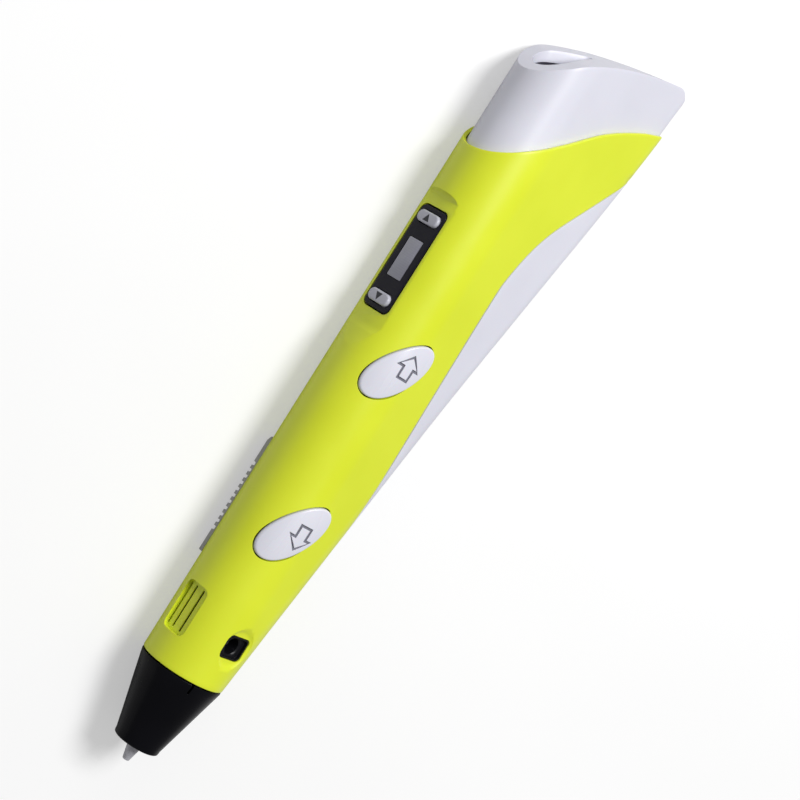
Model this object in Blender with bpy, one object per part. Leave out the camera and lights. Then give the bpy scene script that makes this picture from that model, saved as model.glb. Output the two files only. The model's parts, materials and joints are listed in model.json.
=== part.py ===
"""A handheld 3-D drawing pen: two hollow covers, a nose cone, the heated nozzle, the filament drive and its controls.

Everything is drawn in the pen's own axes: X runs along the pen from the nozzle tip to the tail, Y points to
the display and Z to the side with the two large buttons. An empty then rolls the pen about X, so that it lies
on its flank on the floor, and puts the origin at the bottom centre of its box.
"""

import math

import bmesh
import bpy
from mathutils import Matrix, Vector

MM = 0.001
GAP = 0.3  # left between separate pieces, in millimetres, as all the sizes here are

# The body: a round head of nearly constant radius, and a keel that grows towards the tail.
PEN_LENGTH = 183.2  # to the point where the keel line would end; the rounded tail ends just short of it
JOINT_X = 22.6  # where the nose cone meets the covers
HEAD_RADIUS = (9.55, 9.8)  # at the joint and at the tail
KEEL_LINE = [(JOINT_X, 9.55), (60.0, 15.5), (98.0, 21.7), (124.0, 26.7), (148.0, 31.35), (163.0, 34.0),
             (174.0, 35.6), (190.0, 37.2)]  # (x, depth of the keel's edge below the axis)
KEEL_RADIUS = (9.55, 2.4)
WALL = 1.6
KEEL_WALL = 2.3
TAIL_STEP = 1.12  # the tail's head stands this far inside the front cover's rim
TAIL_KEEL_STEP = 0.4  # and its keel this far
TONGUE_DEPTH = (WALL + GAP, 3.1)  # the inner keel wall that joins the back cover's belly to its tail
TAIL_WALL = 2.8
REST_X = 172.0  # where the keel touches the floor

# Side-view curves, as (x, y) points from the display side to the keel.
RIM_CURVE = [(144.0, 13.0), (145.4, 9.8), (147.5, 7.0), (151.0, 2.5), (156.6, -5.8), (163.6, -15.8),
             (169.1, -27.3), (171.8, -36.0), (172.6, -39.0)]
PARTING_CURVE = [(166.9, -39.0), (161.4, -34.3), (149.6, -24.8), (138.4, -16.4), (128.0, -12.6), (118.5, -12.0),
                 (86.2, -13.0), (49.7, -14.2), (40.0, -14.6)]
TAIL_CURVE = [(161.0, 12.0), (164.2, 9.0), (168.8, 4.5), (172.2, 0.0), (176.1, -9.0), (179.0, -18.0),
              (181.1, -26.0), (182.0, -30.0), (182.3, -31.8), (181.9, -33.5), (180.5, -35.2), (177.5, -37.4)]

# Display recess and what sits in it.
RECESS_X = (98.0, 105.6, 133.9)  # where the ramp starts, where the floor starts, and the steep end
RECESS_FLOOR = 8.3  # height of the floor above the axis
PAD_UNDERSIDE = 6.2  # the front cover is thicker behind the recess, down to this height
PANEL_X = 118.9
PANEL_SIZE = (23.8, 8.3)
PANEL_CORNER = 1.3
PANEL_PROUD = 0.15
PANEL_THICK = 2.0
WINDOW_SIZE = (9.2, 4.6)
WINDOW_THICK = 0.8
SMALL_BUTTON_OFFSET = 9.4
SMALL_BUTTON_SIZE = (2.6, 6.2)
SMALL_BUTTON_PROUD = 0.8
SMALL_BUTTON_TRAVEL = 0.3
BOARD_THICK = 1.0
DISPLAY_BOARD_Y = 4.0

# Oval buttons on the button side.
OVAL_PLACE = {"retract": (98.6, 80.5), "feed": (59.4, 78.0)}  # (x, degrees round from the display)
CONTROL_PHI = 79.0
OVAL_RADII = (8.65, 4.35)
OVAL_SLANT = 35.0
OVAL_TOP = 10.1
OVAL_BOTTOM = 8.1
OVAL_TRAVEL = 0.5
CONTROL_BOARD_RADIUS = 5.2
CONTROL_BOARD_X = (49.5, 102.6)

# Speed slider on the far side.
SLIDER_PHI = -64.0
SLIDER_X = (45.1, 73.1)
SLIDER_WIDTH = 4.4
SLIDER_BASE = 0.3  # the base plate's rise over the cover
SLIDER_RISE = 0.95
RIDGE_COUNT = 10
RIDGE_PITCH = 1.56
RIDGE_WIDTH = 0.8
SLIDER_STEM = (4.0, 2.0)
SLIDER_TRAVEL = 4.0

# Vent, power socket and tail opening.
VENT_X = (29.1, 40.3)
VENT_PHI = 5.0
VENT_WIDTH = 6.6
VENT_DEPTH = 0.7
VENT_SLOTS = (-2.85, -1.2, 1.2, 2.85)
SOCKET_X = 32.6
SOCKET_PHI = 98.0
SOCKET_HOLE = (4.8, 6.8)
SOCKET_DISH_RADIUS = 5.8
INLET_CENTRE_Y = 2.5
INLET_RADIUS = 4.2
INLET_TIP = (-5.9, 1.1)

# Filament drive.
FILAMENT_RADIUS = 0.875
FEED_X = 92.0
FEED_TEETH = 12
FEED_PITCH_RADIUS = 2.85
FEED_OUTER_RADIUS = 3.2
FEED_AXIS_Y = -4.0
WORM_PITCH_RADIUS = 1.5
WORM_AXIS_Y = FEED_AXIS_Y - FEED_PITCH_RADIUS - WORM_PITCH_RADIUS
WORM_LEAD = 2 * math.pi * FEED_PITCH_RADIUS / FEED_TEETH
IDLER_RADIUS = 2.6
IDLER_AXIS_Y = FILAMENT_RADIUS + IDLER_RADIUS + 0.1
IDLER_PIVOT = (99.4, 5.2)
CHASSIS_X = (84.0, 102.8)

COLOURS = {
    "yellow_plastic": ((0.72, 0.80, 0.03), 0.32, 0.0),
    "white_plastic": ((0.86, 0.86, 0.92), 0.30, 0.0),
    "black_plastic": ((0.012, 0.012, 0.014), 0.22, 0.0),
    "panel_black": ((0.02, 0.02, 0.03), 0.25, 0.0),
    "window_grey": ((0.30, 0.31, 0.36), 0.15, 0.0),
    "key_grey": ((0.62, 0.62, 0.68), 0.35, 0.0),
    "ceramic": ((0.55, 0.55, 0.58), 0.45, 0.0),
    "steel": ((0.60, 0.60, 0.62), 0.30, 1.0),
    "brass": ((0.75, 0.58, 0.25), 0.30, 1.0),
    "circuit_green": ((0.03, 0.22, 0.08), 0.45, 0.0),
    "insulation": ((0.80, 0.62, 0.35), 0.60, 0.0),
    "tube_white": ((0.85, 0.85, 0.82), 0.40, 0.0),
    "frame_grey": ((0.12, 0.12, 0.13), 0.50, 0.0),
}


# --- Small geometry helpers -------------------------------------------------------------------------------------

def along(pair, x):
    """A value that runs straight from the nose joint to the tail."""
    share = max(0.0, (x - JOINT_X) / (PEN_LENGTH - JOINT_X))
    return pair[0] + (pair[1] - pair[0]) * share


def keel_depth(x):
    """Depth of the keel's edge at x."""
    for (x0, d0), (x1, d1) in zip(KEEL_LINE, KEEL_LINE[1:]):
        if x <= x1:
            return d0 + (d1 - d0) * max(0.0, x - x0) / (x1 - x0)
    return KEEL_LINE[-1][1]


def section(x, inset=0.0, keel_inset=None):
    """(head radius, keel centre's depth, keel radius, flank lean) of the body at x, drawn in by the insets."""
    keel_inset = inset if keel_inset is None else keel_inset
    head, depth, keel = along(HEAD_RADIUS, x) - inset, keel_depth(x) - keel_inset, along(KEEL_RADIUS, x) - inset
    keel = max(keel, 0.4)
    centre = max(0.0, depth - keel)
    lean = math.asin(max(0.0, min((head - keel) / max(centre, 1e-6), 1.0)))
    return head, centre, keel, lean


def body_ring(x, inset=0.0, keel_inset=None, head_steps=11, flank_steps=3, keel_steps=3):
    """The body's outline at x as (x, y, z) points: over the head, down one flank, round the keel and back up."""
    head, centre, keel, lean = section(x, inset, keel_inset)
    if centre < 0.01:
        count = 2 * (head_steps + flank_steps + keel_steps)
        angles = [2 * math.pi * step / count for step in range(count)]
        return [(x, head * math.cos(angle), head * math.sin(angle)) for angle in angles]
    half = []
    for step in range(head_steps + 1):
        angle = (math.pi / 2 + lean) * step / head_steps
        half.append((head * math.cos(angle), head * math.sin(angle)))
    start = half[-1]
    end = (-centre + keel * math.cos(math.pi / 2 + lean), keel * math.sin(math.pi / 2 + lean))
    for step in range(1, flank_steps):
        share = step / flank_steps
        half.append((start[0] + (end[0] - start[0]) * share, start[1] + (end[1] - start[1]) * share))
    for step in range(keel_steps + 1):
        angle = math.pi / 2 + lean + (math.pi / 2 - lean) * step / keel_steps
        half.append((-centre + keel * math.cos(angle), keel * math.sin(angle)))
    other = [(y, -z) for y, z in reversed(half[1:-1])]
    return [(x, y, z) for y, z in half + other]


def smooth_curve(points, pieces=3):
    """A Catmull-Rom curve through the points, with that many pieces between neighbours."""
    ends = [points[0]] + list(points) + [points[-1]]
    curve = []
    for p0, p1, p2, p3 in zip(ends, ends[1:], ends[2:], ends[3:]):
        for step in range(pieces):
            t = step / pieces
            curve.append(tuple(
                0.5 * (2 * b + (c - a) * t + (2 * a - 5 * b + 4 * c - d) * t * t + (3 * b - a - 3 * c + d) * t ** 3)
                for a, b, c, d in zip(p0, p1, p2, p3)))
    curve.append(tuple(points[-1]))
    return curve


def shifted(curve, distance):
    """The curve moved sideways by distance, to the left of its direction."""
    moved = []
    for index, (x, y) in enumerate(curve):
        ax, ay = curve[max(index - 1, 0)]
        bx, by = curve[min(index + 1, len(curve) - 1)]
        length = math.hypot(bx - ax, by - ay)
        moved.append((x - (by - ay) / length * distance, y + (bx - ax) / length * distance))
    return moved


def rounded_rectangle(length, width, radius, steps=4):
    """Outline points of a rectangle with round corners, centred on the origin."""
    points = []
    for corner, (sx, sy) in enumerate([(1, 1), (-1, 1), (-1, -1), (1, -1)]):
        cx, cy = sx * (length / 2 - radius), sy * (width / 2 - radius)
        for step in range(steps + 1):
            angle = math.pi / 2 * (corner + step / steps)
            points.append((cx + radius * math.cos(angle), cy + radius * math.sin(angle)))
    return points


def ellipse(a, b, steps=28):
    return [(a * math.cos(2 * math.pi * i / steps), b * math.sin(2 * math.pi * i / steps)) for i in range(steps)]


def circle(radius, steps=16):
    return ellipse(radius, radius, steps)


def turned_outline(points, degrees):
    c, s = math.cos(math.radians(degrees)), math.sin(math.radians(degrees))
    return [(x * c - y * s, x * s + y * c) for x, y in points]


def radial_frame(x, phi_degrees, radius=0.0):
    """Local X along the pen, local Z outwards at phi from the display, local Y back towards the display."""
    phi = math.radians(phi_degrees)
    out = Vector((0.0, math.cos(phi), math.sin(phi)))
    along_pen = Vector((1.0, 0.0, 0.0))
    turn = Matrix((along_pen, out.cross(along_pen), out)).transposed().to_4x4()
    return Matrix.Translation(out * radius + along_pen * x) @ turn


def cross_frame(x, y):
    """Local Z along the pen's Z, at (x, y): for shafts that cross the pen."""
    return Matrix.Translation((x, y, 0.0))


# --- Objects ----------------------------------------------------------------------------------------------------

def material(slot):
    """The Principled material of one slot, made once."""
    found = bpy.data.materials.get(slot)
    if found:
        return found
    made = bpy.data.materials.new(slot)
    made.use_nodes = True
    colour, roughness, metallic = COLOURS[slot]
    shader = made.node_tree.nodes["Principled BSDF"]
    shader.inputs["Base Color"].default_value = (*colour, 1.0)
    shader.inputs["Roughness"].default_value = roughness
    shader.inputs["Metallic"].default_value = metallic
    return made


class Pen:
    """Keeps the root empty and turns bmeshes, in millimetres, into objects under it."""

    def __init__(self):
        self.root = bpy.data.objects.new("pen_root", None)
        bpy.context.scene.collection.objects.link(self.root)

    def add(self, name, bm, slot=None, pivot=(0.0, 0.0, 0.0)):
        """An object from the bmesh, with its origin at the pivot. Without a slot it is a hidden cutter."""
        bmesh.ops.recalc_face_normals(bm, faces=bm.faces)
        bmesh.ops.translate(bm, vec=-Vector(pivot), verts=bm.verts)
        bmesh.ops.scale(bm, vec=(MM, MM, MM), verts=bm.verts)
        mesh = bpy.data.meshes.new(name)
        bm.to_mesh(mesh)
        bm.free()
        obj = bpy.data.objects.new(name, mesh)
        bpy.context.scene.collection.objects.link(obj)
        obj.parent = self.root
        obj.location = Vector(pivot) * MM
        if slot:
            mesh.materials.append(material(slot))
            mesh.shade_smooth()
            mesh.set_sharp_from_angle(angle=math.radians(32))
        else:
            obj.hide_render = True
            obj.display_type = "WIRE"
        return obj


def combine(target, other, operation):
    """A Boolean modifier on target."""
    modifier = target.modifiers.new(f"{operation.lower()}_{other.name}", "BOOLEAN")
    modifier.operation = operation
    modifier.solver = "EXACT"
    modifier.object = other


def cut(target, *cutters):
    for cutter in cutters:
        combine(target, cutter, "DIFFERENCE")


def loft(rings):
    """A closed bmesh through rings of equal point count."""
    bm = bmesh.new()
    loops = [[bm.verts.new(p) for p in ring] for ring in rings]
    for first, second in zip(loops, loops[1:]):
        for index in range(len(first)):
            after = (index + 1) % len(first)
            bm.faces.new((first[index], first[after], second[after], second[index]))
    bm.faces.new(loops[0])
    bm.faces.new(loops[-1])
    return bm


def prism(outline, low, high, frame=None):
    """An outline extruded along its local Z from low to high."""
    bm = bmesh.new()
    face = bm.faces.new([bm.verts.new((x, y, low)) for x, y in outline])
    made = bmesh.ops.extrude_face_region(bm, geom=[face])
    moved = [v for v in made["geom"] if isinstance(v, bmesh.types.BMVert)]
    bmesh.ops.translate(bm, vec=(0.0, 0.0, high - low), verts=moved)
    if frame:
        bmesh.ops.transform(bm, matrix=frame, verts=bm.verts)
    return bm


def turned(profile, steps=24, frame=None):
    """A solid of revolution about X from (x, radius) points. A profile that leaves the axis is a closed loop."""
    bm = bmesh.new()
    verts = [bm.verts.new((x, r, 0.0)) for x, r in profile]
    pairs = list(zip(verts, verts[1:]))
    if profile[0][1] > 0:
        pairs.append((verts[-1], verts[0]))
    edges = [bm.edges.new(pair) for pair in pairs]
    bmesh.ops.spin(bm, geom=verts + edges, cent=(0, 0, 0), axis=(1, 0, 0), angle=2 * math.pi, steps=steps,
                   use_merge=True)
    bmesh.ops.remove_doubles(bm, verts=bm.verts, dist=1e-4)
    if frame:
        bmesh.ops.transform(bm, matrix=frame, verts=bm.verts)
    return bm


def box(low, high, frame=None):
    outline = [(low[0], low[1]), (high[0], low[1]), (high[0], high[1]), (low[0], high[1])]
    return prism(outline, low[2], high[2], frame)


SPIN_TO_Z = Matrix.Rotation(-math.pi / 2, 4, "Y")  # turns a solid made about X to stand along local Z


# --- Covers -----------------------------------------------------------------------------------------------------

SIDE_REACH = 30.0  # how far a side-view prism reaches on each side


def body_loft(inset, first=None, keel_inset=None):
    """The body as a solid, drawn in by the insets. It can start ahead of the nose joint, at first."""
    stations = ([first] if first else []) + [x for x, depth in KEEL_LINE]
    return loft([body_ring(x, inset, keel_inset) for x in stations])


def side_prism(outline):
    return prism(outline, -SIDE_REACH, SIDE_REACH)


def tail_end(inset):
    """Everything on the nose side of the tail's end face, moved towards the nose by inset, as a prism."""
    curve = [(x - inset, y) for x, y in smooth_curve(TAIL_CURVE)]
    return side_prism([(20.0, 14.0), (curve[0][0], 14.0), *curve, (curve[-1][0], -44.0), (20.0, -44.0)])


def front_region():
    """Side view of what the front cover holds."""
    rim, parting = smooth_curve(RIM_CURVE), smooth_curve(PARTING_CURVE)
    return [(10.0, 13.0), *rim, *parting, (34.0, -20.0), (10.0, -20.0)]


def belly_region():
    """Side view of the back cover's belly strip, one gap away from the front cover."""
    return [*shifted(smooth_curve(PARTING_CURVE), GAP), (40.0, -45.0), (160.0, -45.0)]


def tail_region():
    """Side view of the back cover's tail, one gap away from the front cover."""
    rim = shifted(smooth_curve(RIM_CURVE), GAP)
    return [*rim, (200.0, -42.0), (200.0, 16.0), (146.0, 16.0)]


def tongue_region():
    """Side view of the inner keel wall that joins belly and tail behind the front cover's wrap."""
    return [(140.0, -24.0), (158.0, -24.0), (178.0, -26.0), (178.0, -42.0), (140.0, -42.0)]


def floor_frame():
    """Local X along the pen and local Z out of the recess floor, at the display panel's centre."""
    return radial_frame(PANEL_X, 0.0, RECESS_FLOOR)


def front_cover(pen):
    cover = pen.add("front_cover", body_loft(0.0), "yellow_plastic")
    combine(cover, pen.add("front_region", side_prism(front_region())), "INTERSECT")
    ramp_x, floor_x, end_x = RECESS_X
    cavity = pen.add("front_cavity", body_loft(WALL, JOINT_X - 5.0))
    cut(cavity, pen.add("recess_pad", box((103.2, PAD_UNDERSIDE, -12.0), (end_x + 3.0, 12.0, 12.0))))
    cut(cover, cavity)

    side = [(ramp_x, along(HEAD_RADIUS, ramp_x) + 0.02), (floor_x - 2.6, RECESS_FLOOR + 0.3), (floor_x, RECESS_FLOOR),
            (end_x, RECESS_FLOOR), (end_x + 1.4, 12.0), (ramp_x, 12.0)]
    cut(cover, pen.add("recess_cutter", side_prism(side)))
    pocket = rounded_rectangle(PANEL_SIZE[0] + 2 * GAP, PANEL_SIZE[1] + 2 * GAP, PANEL_CORNER + GAP)
    cut(cover, pen.add("panel_cutter", prism(pocket, -4.0, 3.0, floor_frame())))

    for name, (x, phi) in OVAL_PLACE.items():
        outline = turned_outline(ellipse(OVAL_RADII[0] + GAP, OVAL_RADII[1] + GAP, 32), -OVAL_SLANT)
        cut(cover, pen.add(f"{name}_cutter", prism(outline, 3.0, 14.0, radial_frame(x, phi))))

    middle = sum(SLIDER_X) / 2
    length = SLIDER_STEM[0] + 2 * SLIDER_TRAVEL + 1.0
    slot = rounded_rectangle(length, SLIDER_STEM[1] + 0.8, 1.0)
    cut(cover, pen.add("slider_cutter", prism(slot, 4.0, 14.0, radial_frame(middle, SLIDER_PHI))))

    vent_middle, vent_length = sum(VENT_X) / 2, VENT_X[1] - VENT_X[0]
    vent_frame = radial_frame(vent_middle, VENT_PHI)
    vent = rounded_rectangle(vent_length, VENT_WIDTH, 1.0)
    floor = along(HEAD_RADIUS, vent_middle) - VENT_DEPTH - 0.35
    cut(cover, pen.add("vent_recess_cutter", prism(vent, floor, 14.0, vent_frame)))
    for index, place in enumerate(VENT_SLOTS):
        slot = [(x, y + place) for x, y in rounded_rectangle(vent_length - 1.4, 0.45, 0.22, 2)]
        cut(cover, pen.add(f"vent_slot_cutter_{index}", prism(slot, 4.0, 12.0, vent_frame)))

    frame = radial_frame(SOCKET_X, SOCKET_PHI)
    hole = rounded_rectangle(SOCKET_HOLE[0], SOCKET_HOLE[1], 1.2)
    cut(cover, pen.add("socket_cutter", prism(hole, 4.0, 14.0, frame)))
    depth = along(HEAD_RADIUS, SOCKET_X)
    dish = [(depth - 0.7, 0.0), (depth - 0.7, 3.6), (depth + 0.9, SOCKET_DISH_RADIUS + 0.6), (depth + 4.0, 7.0),
            (depth + 4.0, 0.0)]
    cut(cover, pen.add("dish_cutter", turned(dish, 28, frame @ SPIN_TO_Z)))
    return cover


def inlet_outline():
    """The tail opening: a round head near the display, drawn out to a point towards the keel."""
    reach = INLET_CENTRE_Y - INLET_TIP[0] - INLET_TIP[1]
    lean = math.asin((INLET_RADIUS - INLET_TIP[1]) / reach)
    half = []
    for step in range(9):
        angle = (math.pi / 2 + lean) * step / 8
        half.append((INLET_CENTRE_Y + INLET_RADIUS * math.cos(angle), INLET_RADIUS * math.sin(angle)))
    for step in range(4):
        angle = math.pi / 2 + lean + (math.pi / 2 - lean) * step / 3
        half.append((INLET_TIP[0] + INLET_TIP[1] * (1 + math.cos(angle)), INLET_TIP[1] * math.sin(angle)))
    return half + [(y, -z) for y, z in reversed(half[1:-1])]


ALONG_PEN = Matrix(((0, 0, 1, 0), (1, 0, 0, 0), (0, 1, 0, 0), (0, 0, 0, 1)))  # local (X, Y, Z) to the pen's (Y, Z, X)


def back_cover(pen):
    cover = pen.add("back_cover", body_loft(0.0), "white_plastic")
    combine(cover, pen.add("belly_region", side_prism(belly_region())), "INTERSECT")
    cut(cover, pen.add("belly_cavity", body_loft(KEEL_WALL, 15.0)))

    tail = pen.add("tail_solid", body_loft(TAIL_STEP, keel_inset=TAIL_KEEL_STEP))
    combine(tail, pen.add("tail_region", side_prism(tail_region())), "INTERSECT")
    combine(tail, pen.add("tail_face", tail_end(0.0)), "INTERSECT")
    hollow = pen.add("tail_cavity", body_loft(TAIL_STEP + 1.6, 15.0))
    combine(hollow, pen.add("tail_cavity_face", tail_end(TAIL_WALL)), "INTERSECT")
    cut(tail, hollow)
    cut(tail, pen.add("inlet_cutter", prism(inlet_outline(), 140.0, 195.0, ALONG_PEN)))

    tongue = pen.add("tongue_solid", body_loft(TONGUE_DEPTH[0]))
    combine(tongue, pen.add("tongue_region", side_prism(tongue_region())), "INTERSECT")
    cut(tongue, pen.add("tongue_cavity", body_loft(TONGUE_DEPTH[1], 15.0)))

    combine(cover, tongue, "UNION")
    combine(cover, tail, "UNION")
    return cover


# --- Nose and hot end -------------------------------------------------------------------------------------------

NOSE_END_X = 4.0
NOTCH_PHI = 71.0
NOSE_PROFILE = [(NOSE_END_X, 3.0), (NOSE_END_X, 4.5), (4.35, 5.05), (5.2, 5.3), (JOINT_X - GAP, 9.5),
                (JOINT_X - GAP, 8.2), (20.0, 7.3), (7.0, 4.2), (7.0, 3.0)]


def nose_cone(pen):
    cone = pen.add("nose_cone", turned(NOSE_PROFILE, 36), "black_plastic")
    notch = box((-1.3, -0.3, 6.0), (2.0, 0.3, 12.0), radial_frame(20.6, NOTCH_PHI))
    cut(cone, pen.add("notch_cutter", notch))
    for side, phi in (("a", -38.0), ("b", 142.0)):
        frame = radial_frame(12.5, phi) @ Matrix.Rotation(math.radians(-14.5), 4, "Y")
        groove = prism(rounded_rectangle(7.4, 1.2, 0.55, 3), 6.45, 12.0, frame)
        cut(cone, pen.add(f"groove_cutter_{side}", groove))


def hot_end(pen):
    nozzle = [(0.0, 0.25), (0.0, 0.75), (4.2, 1.75), (4.9, 1.9), (4.9, 2.4), (13.0, 2.4), (13.0, 1.0), (1.6, 1.0),
              (0.9, 0.25)]
    pen.add("nozzle", turned(nozzle, 20), "ceramic")
    pen.add("heater_core", turned([(7.4, 2.7), (7.4, 3.3), (19.5, 3.3), (19.5, 2.7)], 16), "steel")
    pen.add("insulation_sleeve", turned([(8.2, 3.6), (8.2, 4.0), (21.0, 4.0), (21.0, 3.6)], 16), "insulation")
    pen.add("heat_break_tube", turned([(13.3, 1.05), (13.3, 1.7), (36.6, 1.7), (36.6, 1.05)], 14), "steel")
    holder = [(23.0, 2.0), (23.0, 7.6), (26.6, 7.6), (26.6, 4.2), (28.2, 4.2), (28.2, 2.0)]
    pen.add("nozzle_holder", turned(holder, 24), "frame_grey")
    pen.add("thermistor", box((13.8, 4.3, -0.9), (16.6, 5.3, 0.9)), "insulation")
    pen.add("feed_tube", turned([(36.9, 1.1), (36.9, 2.0), (83.7, 2.0), (83.7, 1.1)], 14), "tube_white")


def cooling_fan(pen):
    """A flat square fan under the vent. The rotor turns about the display direction."""
    middle = sum(VENT_X) / 2
    frame = radial_frame(middle, 0.0)
    housing = pen.add("fan_housing", prism(rounded_rectangle(9.0, 9.0, 0.8, 2), 3.3, 6.3, frame), "frame_grey")
    cut(housing, pen.add("fan_bore_cutter", prism(circle(4.2, 24), 3.9, 7.0, frame)))
    hub = prism(circle(1.6, 16), 4.2, 5.9, frame)
    rotor = pen.add("fan_rotor", hub, "black_plastic", (middle, 5.0, 0.0))
    for index in range(5):
        turn = Matrix.Rotation(2 * math.pi * index / 5, 4, "Z") @ Matrix.Translation((2.5, 0.0, 5.05))
        blade = box((-1.3, -0.22, -0.95), (1.3, 0.22, 0.95))
        bmesh.ops.transform(blade, matrix=frame @ turn @ Matrix.Rotation(math.radians(38), 4, "X"), verts=blade.verts)
        combine(rotor, pen.add(f"fan_blade_{index}", blade), "UNION")


def power_socket(pen):
    """A barrel socket whose face fills the hole in the front cover."""
    frame = radial_frame(SOCKET_X, SOCKET_PHI)
    face = along(HEAD_RADIUS, SOCKET_X) - 1.5
    nose = rounded_rectangle(SOCKET_HOLE[0] - 0.5, SOCKET_HOLE[1] - 0.5, 1.0, 3)
    body = pen.add("power_socket", prism(nose, 5.0, face, frame), "black_plastic")
    block = pen.add("socket_block", box((-3.0, -3.1, 2.5), (3.0, 3.1, 6.2), frame))
    combine(body, block, "UNION")
    cut(body, pen.add("barrel_cutter", prism(circle(1.8, 18), 3.4, 12.0, frame)))
    pen.add("power_pin", prism(circle(0.5, 10), 3.6, face - 0.6, frame), "steel")


# --- Display side -----------------------------------------------------------------------------------------------

def display(pen):
    frame = floor_frame()
    outline = rounded_rectangle(*PANEL_SIZE, PANEL_CORNER)
    panel = pen.add("display_panel", prism(outline, PANEL_PROUD - PANEL_THICK, PANEL_PROUD, frame), "panel_black")
    window = rounded_rectangle(WINDOW_SIZE[0] + 0.2, WINDOW_SIZE[1] + 0.2, 0.3, 2)
    cut(panel, pen.add("window_cutter", prism(window, PANEL_PROUD - WINDOW_THICK - 0.3, 4.0, frame)))
    glass = prism(rounded_rectangle(*WINDOW_SIZE, 0.25, 2), PANEL_PROUD - WINDOW_THICK, PANEL_PROUD - 0.02, frame)
    pen.add("display_window", glass, "window_grey")

    board_centre = frame.inverted() @ Vector((PANEL_X, DISPLAY_BOARD_Y, 0.0))
    board_top = board_centre.z + BOARD_THICK
    board = rounded_rectangle(29.0, 10.2, 0.8, 2)
    pen.add("display_board", prism(board, board_top - BOARD_THICK, board_top, frame), "circuit_green")
    module = rounded_rectangle(11.0, 6.2, 0.3, 1)
    pen.add("display_module", prism(module, board_top + 0.1, PANEL_PROUD - PANEL_THICK - 0.15, frame), "window_grey")

    for name, side in (("temp_down", -1), ("temp_up", 1)):
        place = frame @ Matrix.Translation((side * SMALL_BUTTON_OFFSET, 0.0, 0.0))
        pill = rounded_rectangle(*SMALL_BUTTON_SIZE, SMALL_BUTTON_SIZE[0] / 2 - 0.02, 5)
        hole = rounded_rectangle(SMALL_BUTTON_SIZE[0] + 0.4, SMALL_BUTTON_SIZE[1] + 0.4, SMALL_BUTTON_SIZE[0] / 2, 5)
        cut(panel, pen.add(f"{name}_hole_cutter", prism(hole, -4.0, 4.0, place)))
        top = PANEL_PROUD + SMALL_BUTTON_PROUD
        key = pen.add(f"{name}_button", prism(pill, board_top + 1.25, top, place), "key_grey")
        mark = turned_outline([(0.62, 0.0), (-0.5, 0.72), (-0.5, -0.72)], 0 if side > 0 else 180)
        cut(key, pen.add(f"{name}_mark_cutter", prism(mark, top - 0.15, top + 1.0, place)))
        pen.add(f"{name}_switch", box((-1.6, -2.2, board_top + 0.1), (1.6, 2.2, board_top + 0.9), place), "steel")


# --- Oval buttons -----------------------------------------------------------------------------------------------

def arrow_outline(size):
    """A block arrow that points along +X."""
    return [(size, 0.0), (0.0, size), (0.0, size * 0.5), (-size, size * 0.5), (-size, -size * 0.5), (0.0, -size * 0.5),
            (0.0, -size)]


def oval_buttons(pen):
    top, bottom = CONTROL_BOARD_RADIUS + BOARD_THICK, CONTROL_BOARD_RADIUS
    frame = radial_frame(sum(CONTROL_BOARD_X) / 2, CONTROL_PHI)
    board = rounded_rectangle(CONTROL_BOARD_X[1] - CONTROL_BOARD_X[0], 8.6, 0.8, 2)
    pen.add("control_board", prism(board, bottom, top, frame), "circuit_green")
    pen.add("controller_chip", box((-3.5, -2.4, top + 0.05), (3.5, 2.4, top + 1.0), frame), "frame_grey")
    pen.add("motor_driver_chip", box((-12.0, -1.6, top + 0.05), (-8.6, 1.6, top + 0.9), frame), "frame_grey")
    for name, (x, phi) in OVAL_PLACE.items():
        place = radial_frame(x, phi)
        outline = turned_outline(ellipse(*OVAL_RADII, 32), -OVAL_SLANT)
        crown = turned_outline(ellipse(OVAL_RADII[0] - 0.7, OVAL_RADII[1] - 0.7, 32), -OVAL_SLANT)
        rings = [[(px, py, z) for px, py in loop] for loop, z in
                 ((outline, OVAL_BOTTOM), (outline, OVAL_TOP - 0.35), (crown, OVAL_TOP))]
        cap = loft(rings)
        bmesh.ops.transform(cap, matrix=place, verts=cap.verts)
        button = pen.add(f"{name}_button", cap, "white_plastic")
        arrow = turned_outline(arrow_outline(2.0), 180 if name == "feed" else 0)
        cut(button, pen.add(f"{name}_arrow_cutter", prism(arrow, OVAL_TOP - 0.2, OVAL_TOP + 1.0, place)))
        switch = pen.add(f"{name}_switch", box((-1.8, -1.8, top + 0.12), (1.8, 1.8, top + 1.0), place), "steel")
        cut(switch, pen.add(f"{name}_bore_cutter", prism(circle(0.95, 12), top + 0.4, top + 2.0, place)))
        plunger = prism(circle(0.75, 12), top + 0.95, OVAL_BOTTOM - 0.02, place)
        pen.add(f"{name}_plunger", plunger, "black_plastic")


# --- Speed slider -----------------------------------------------------------------------------------------------

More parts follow.
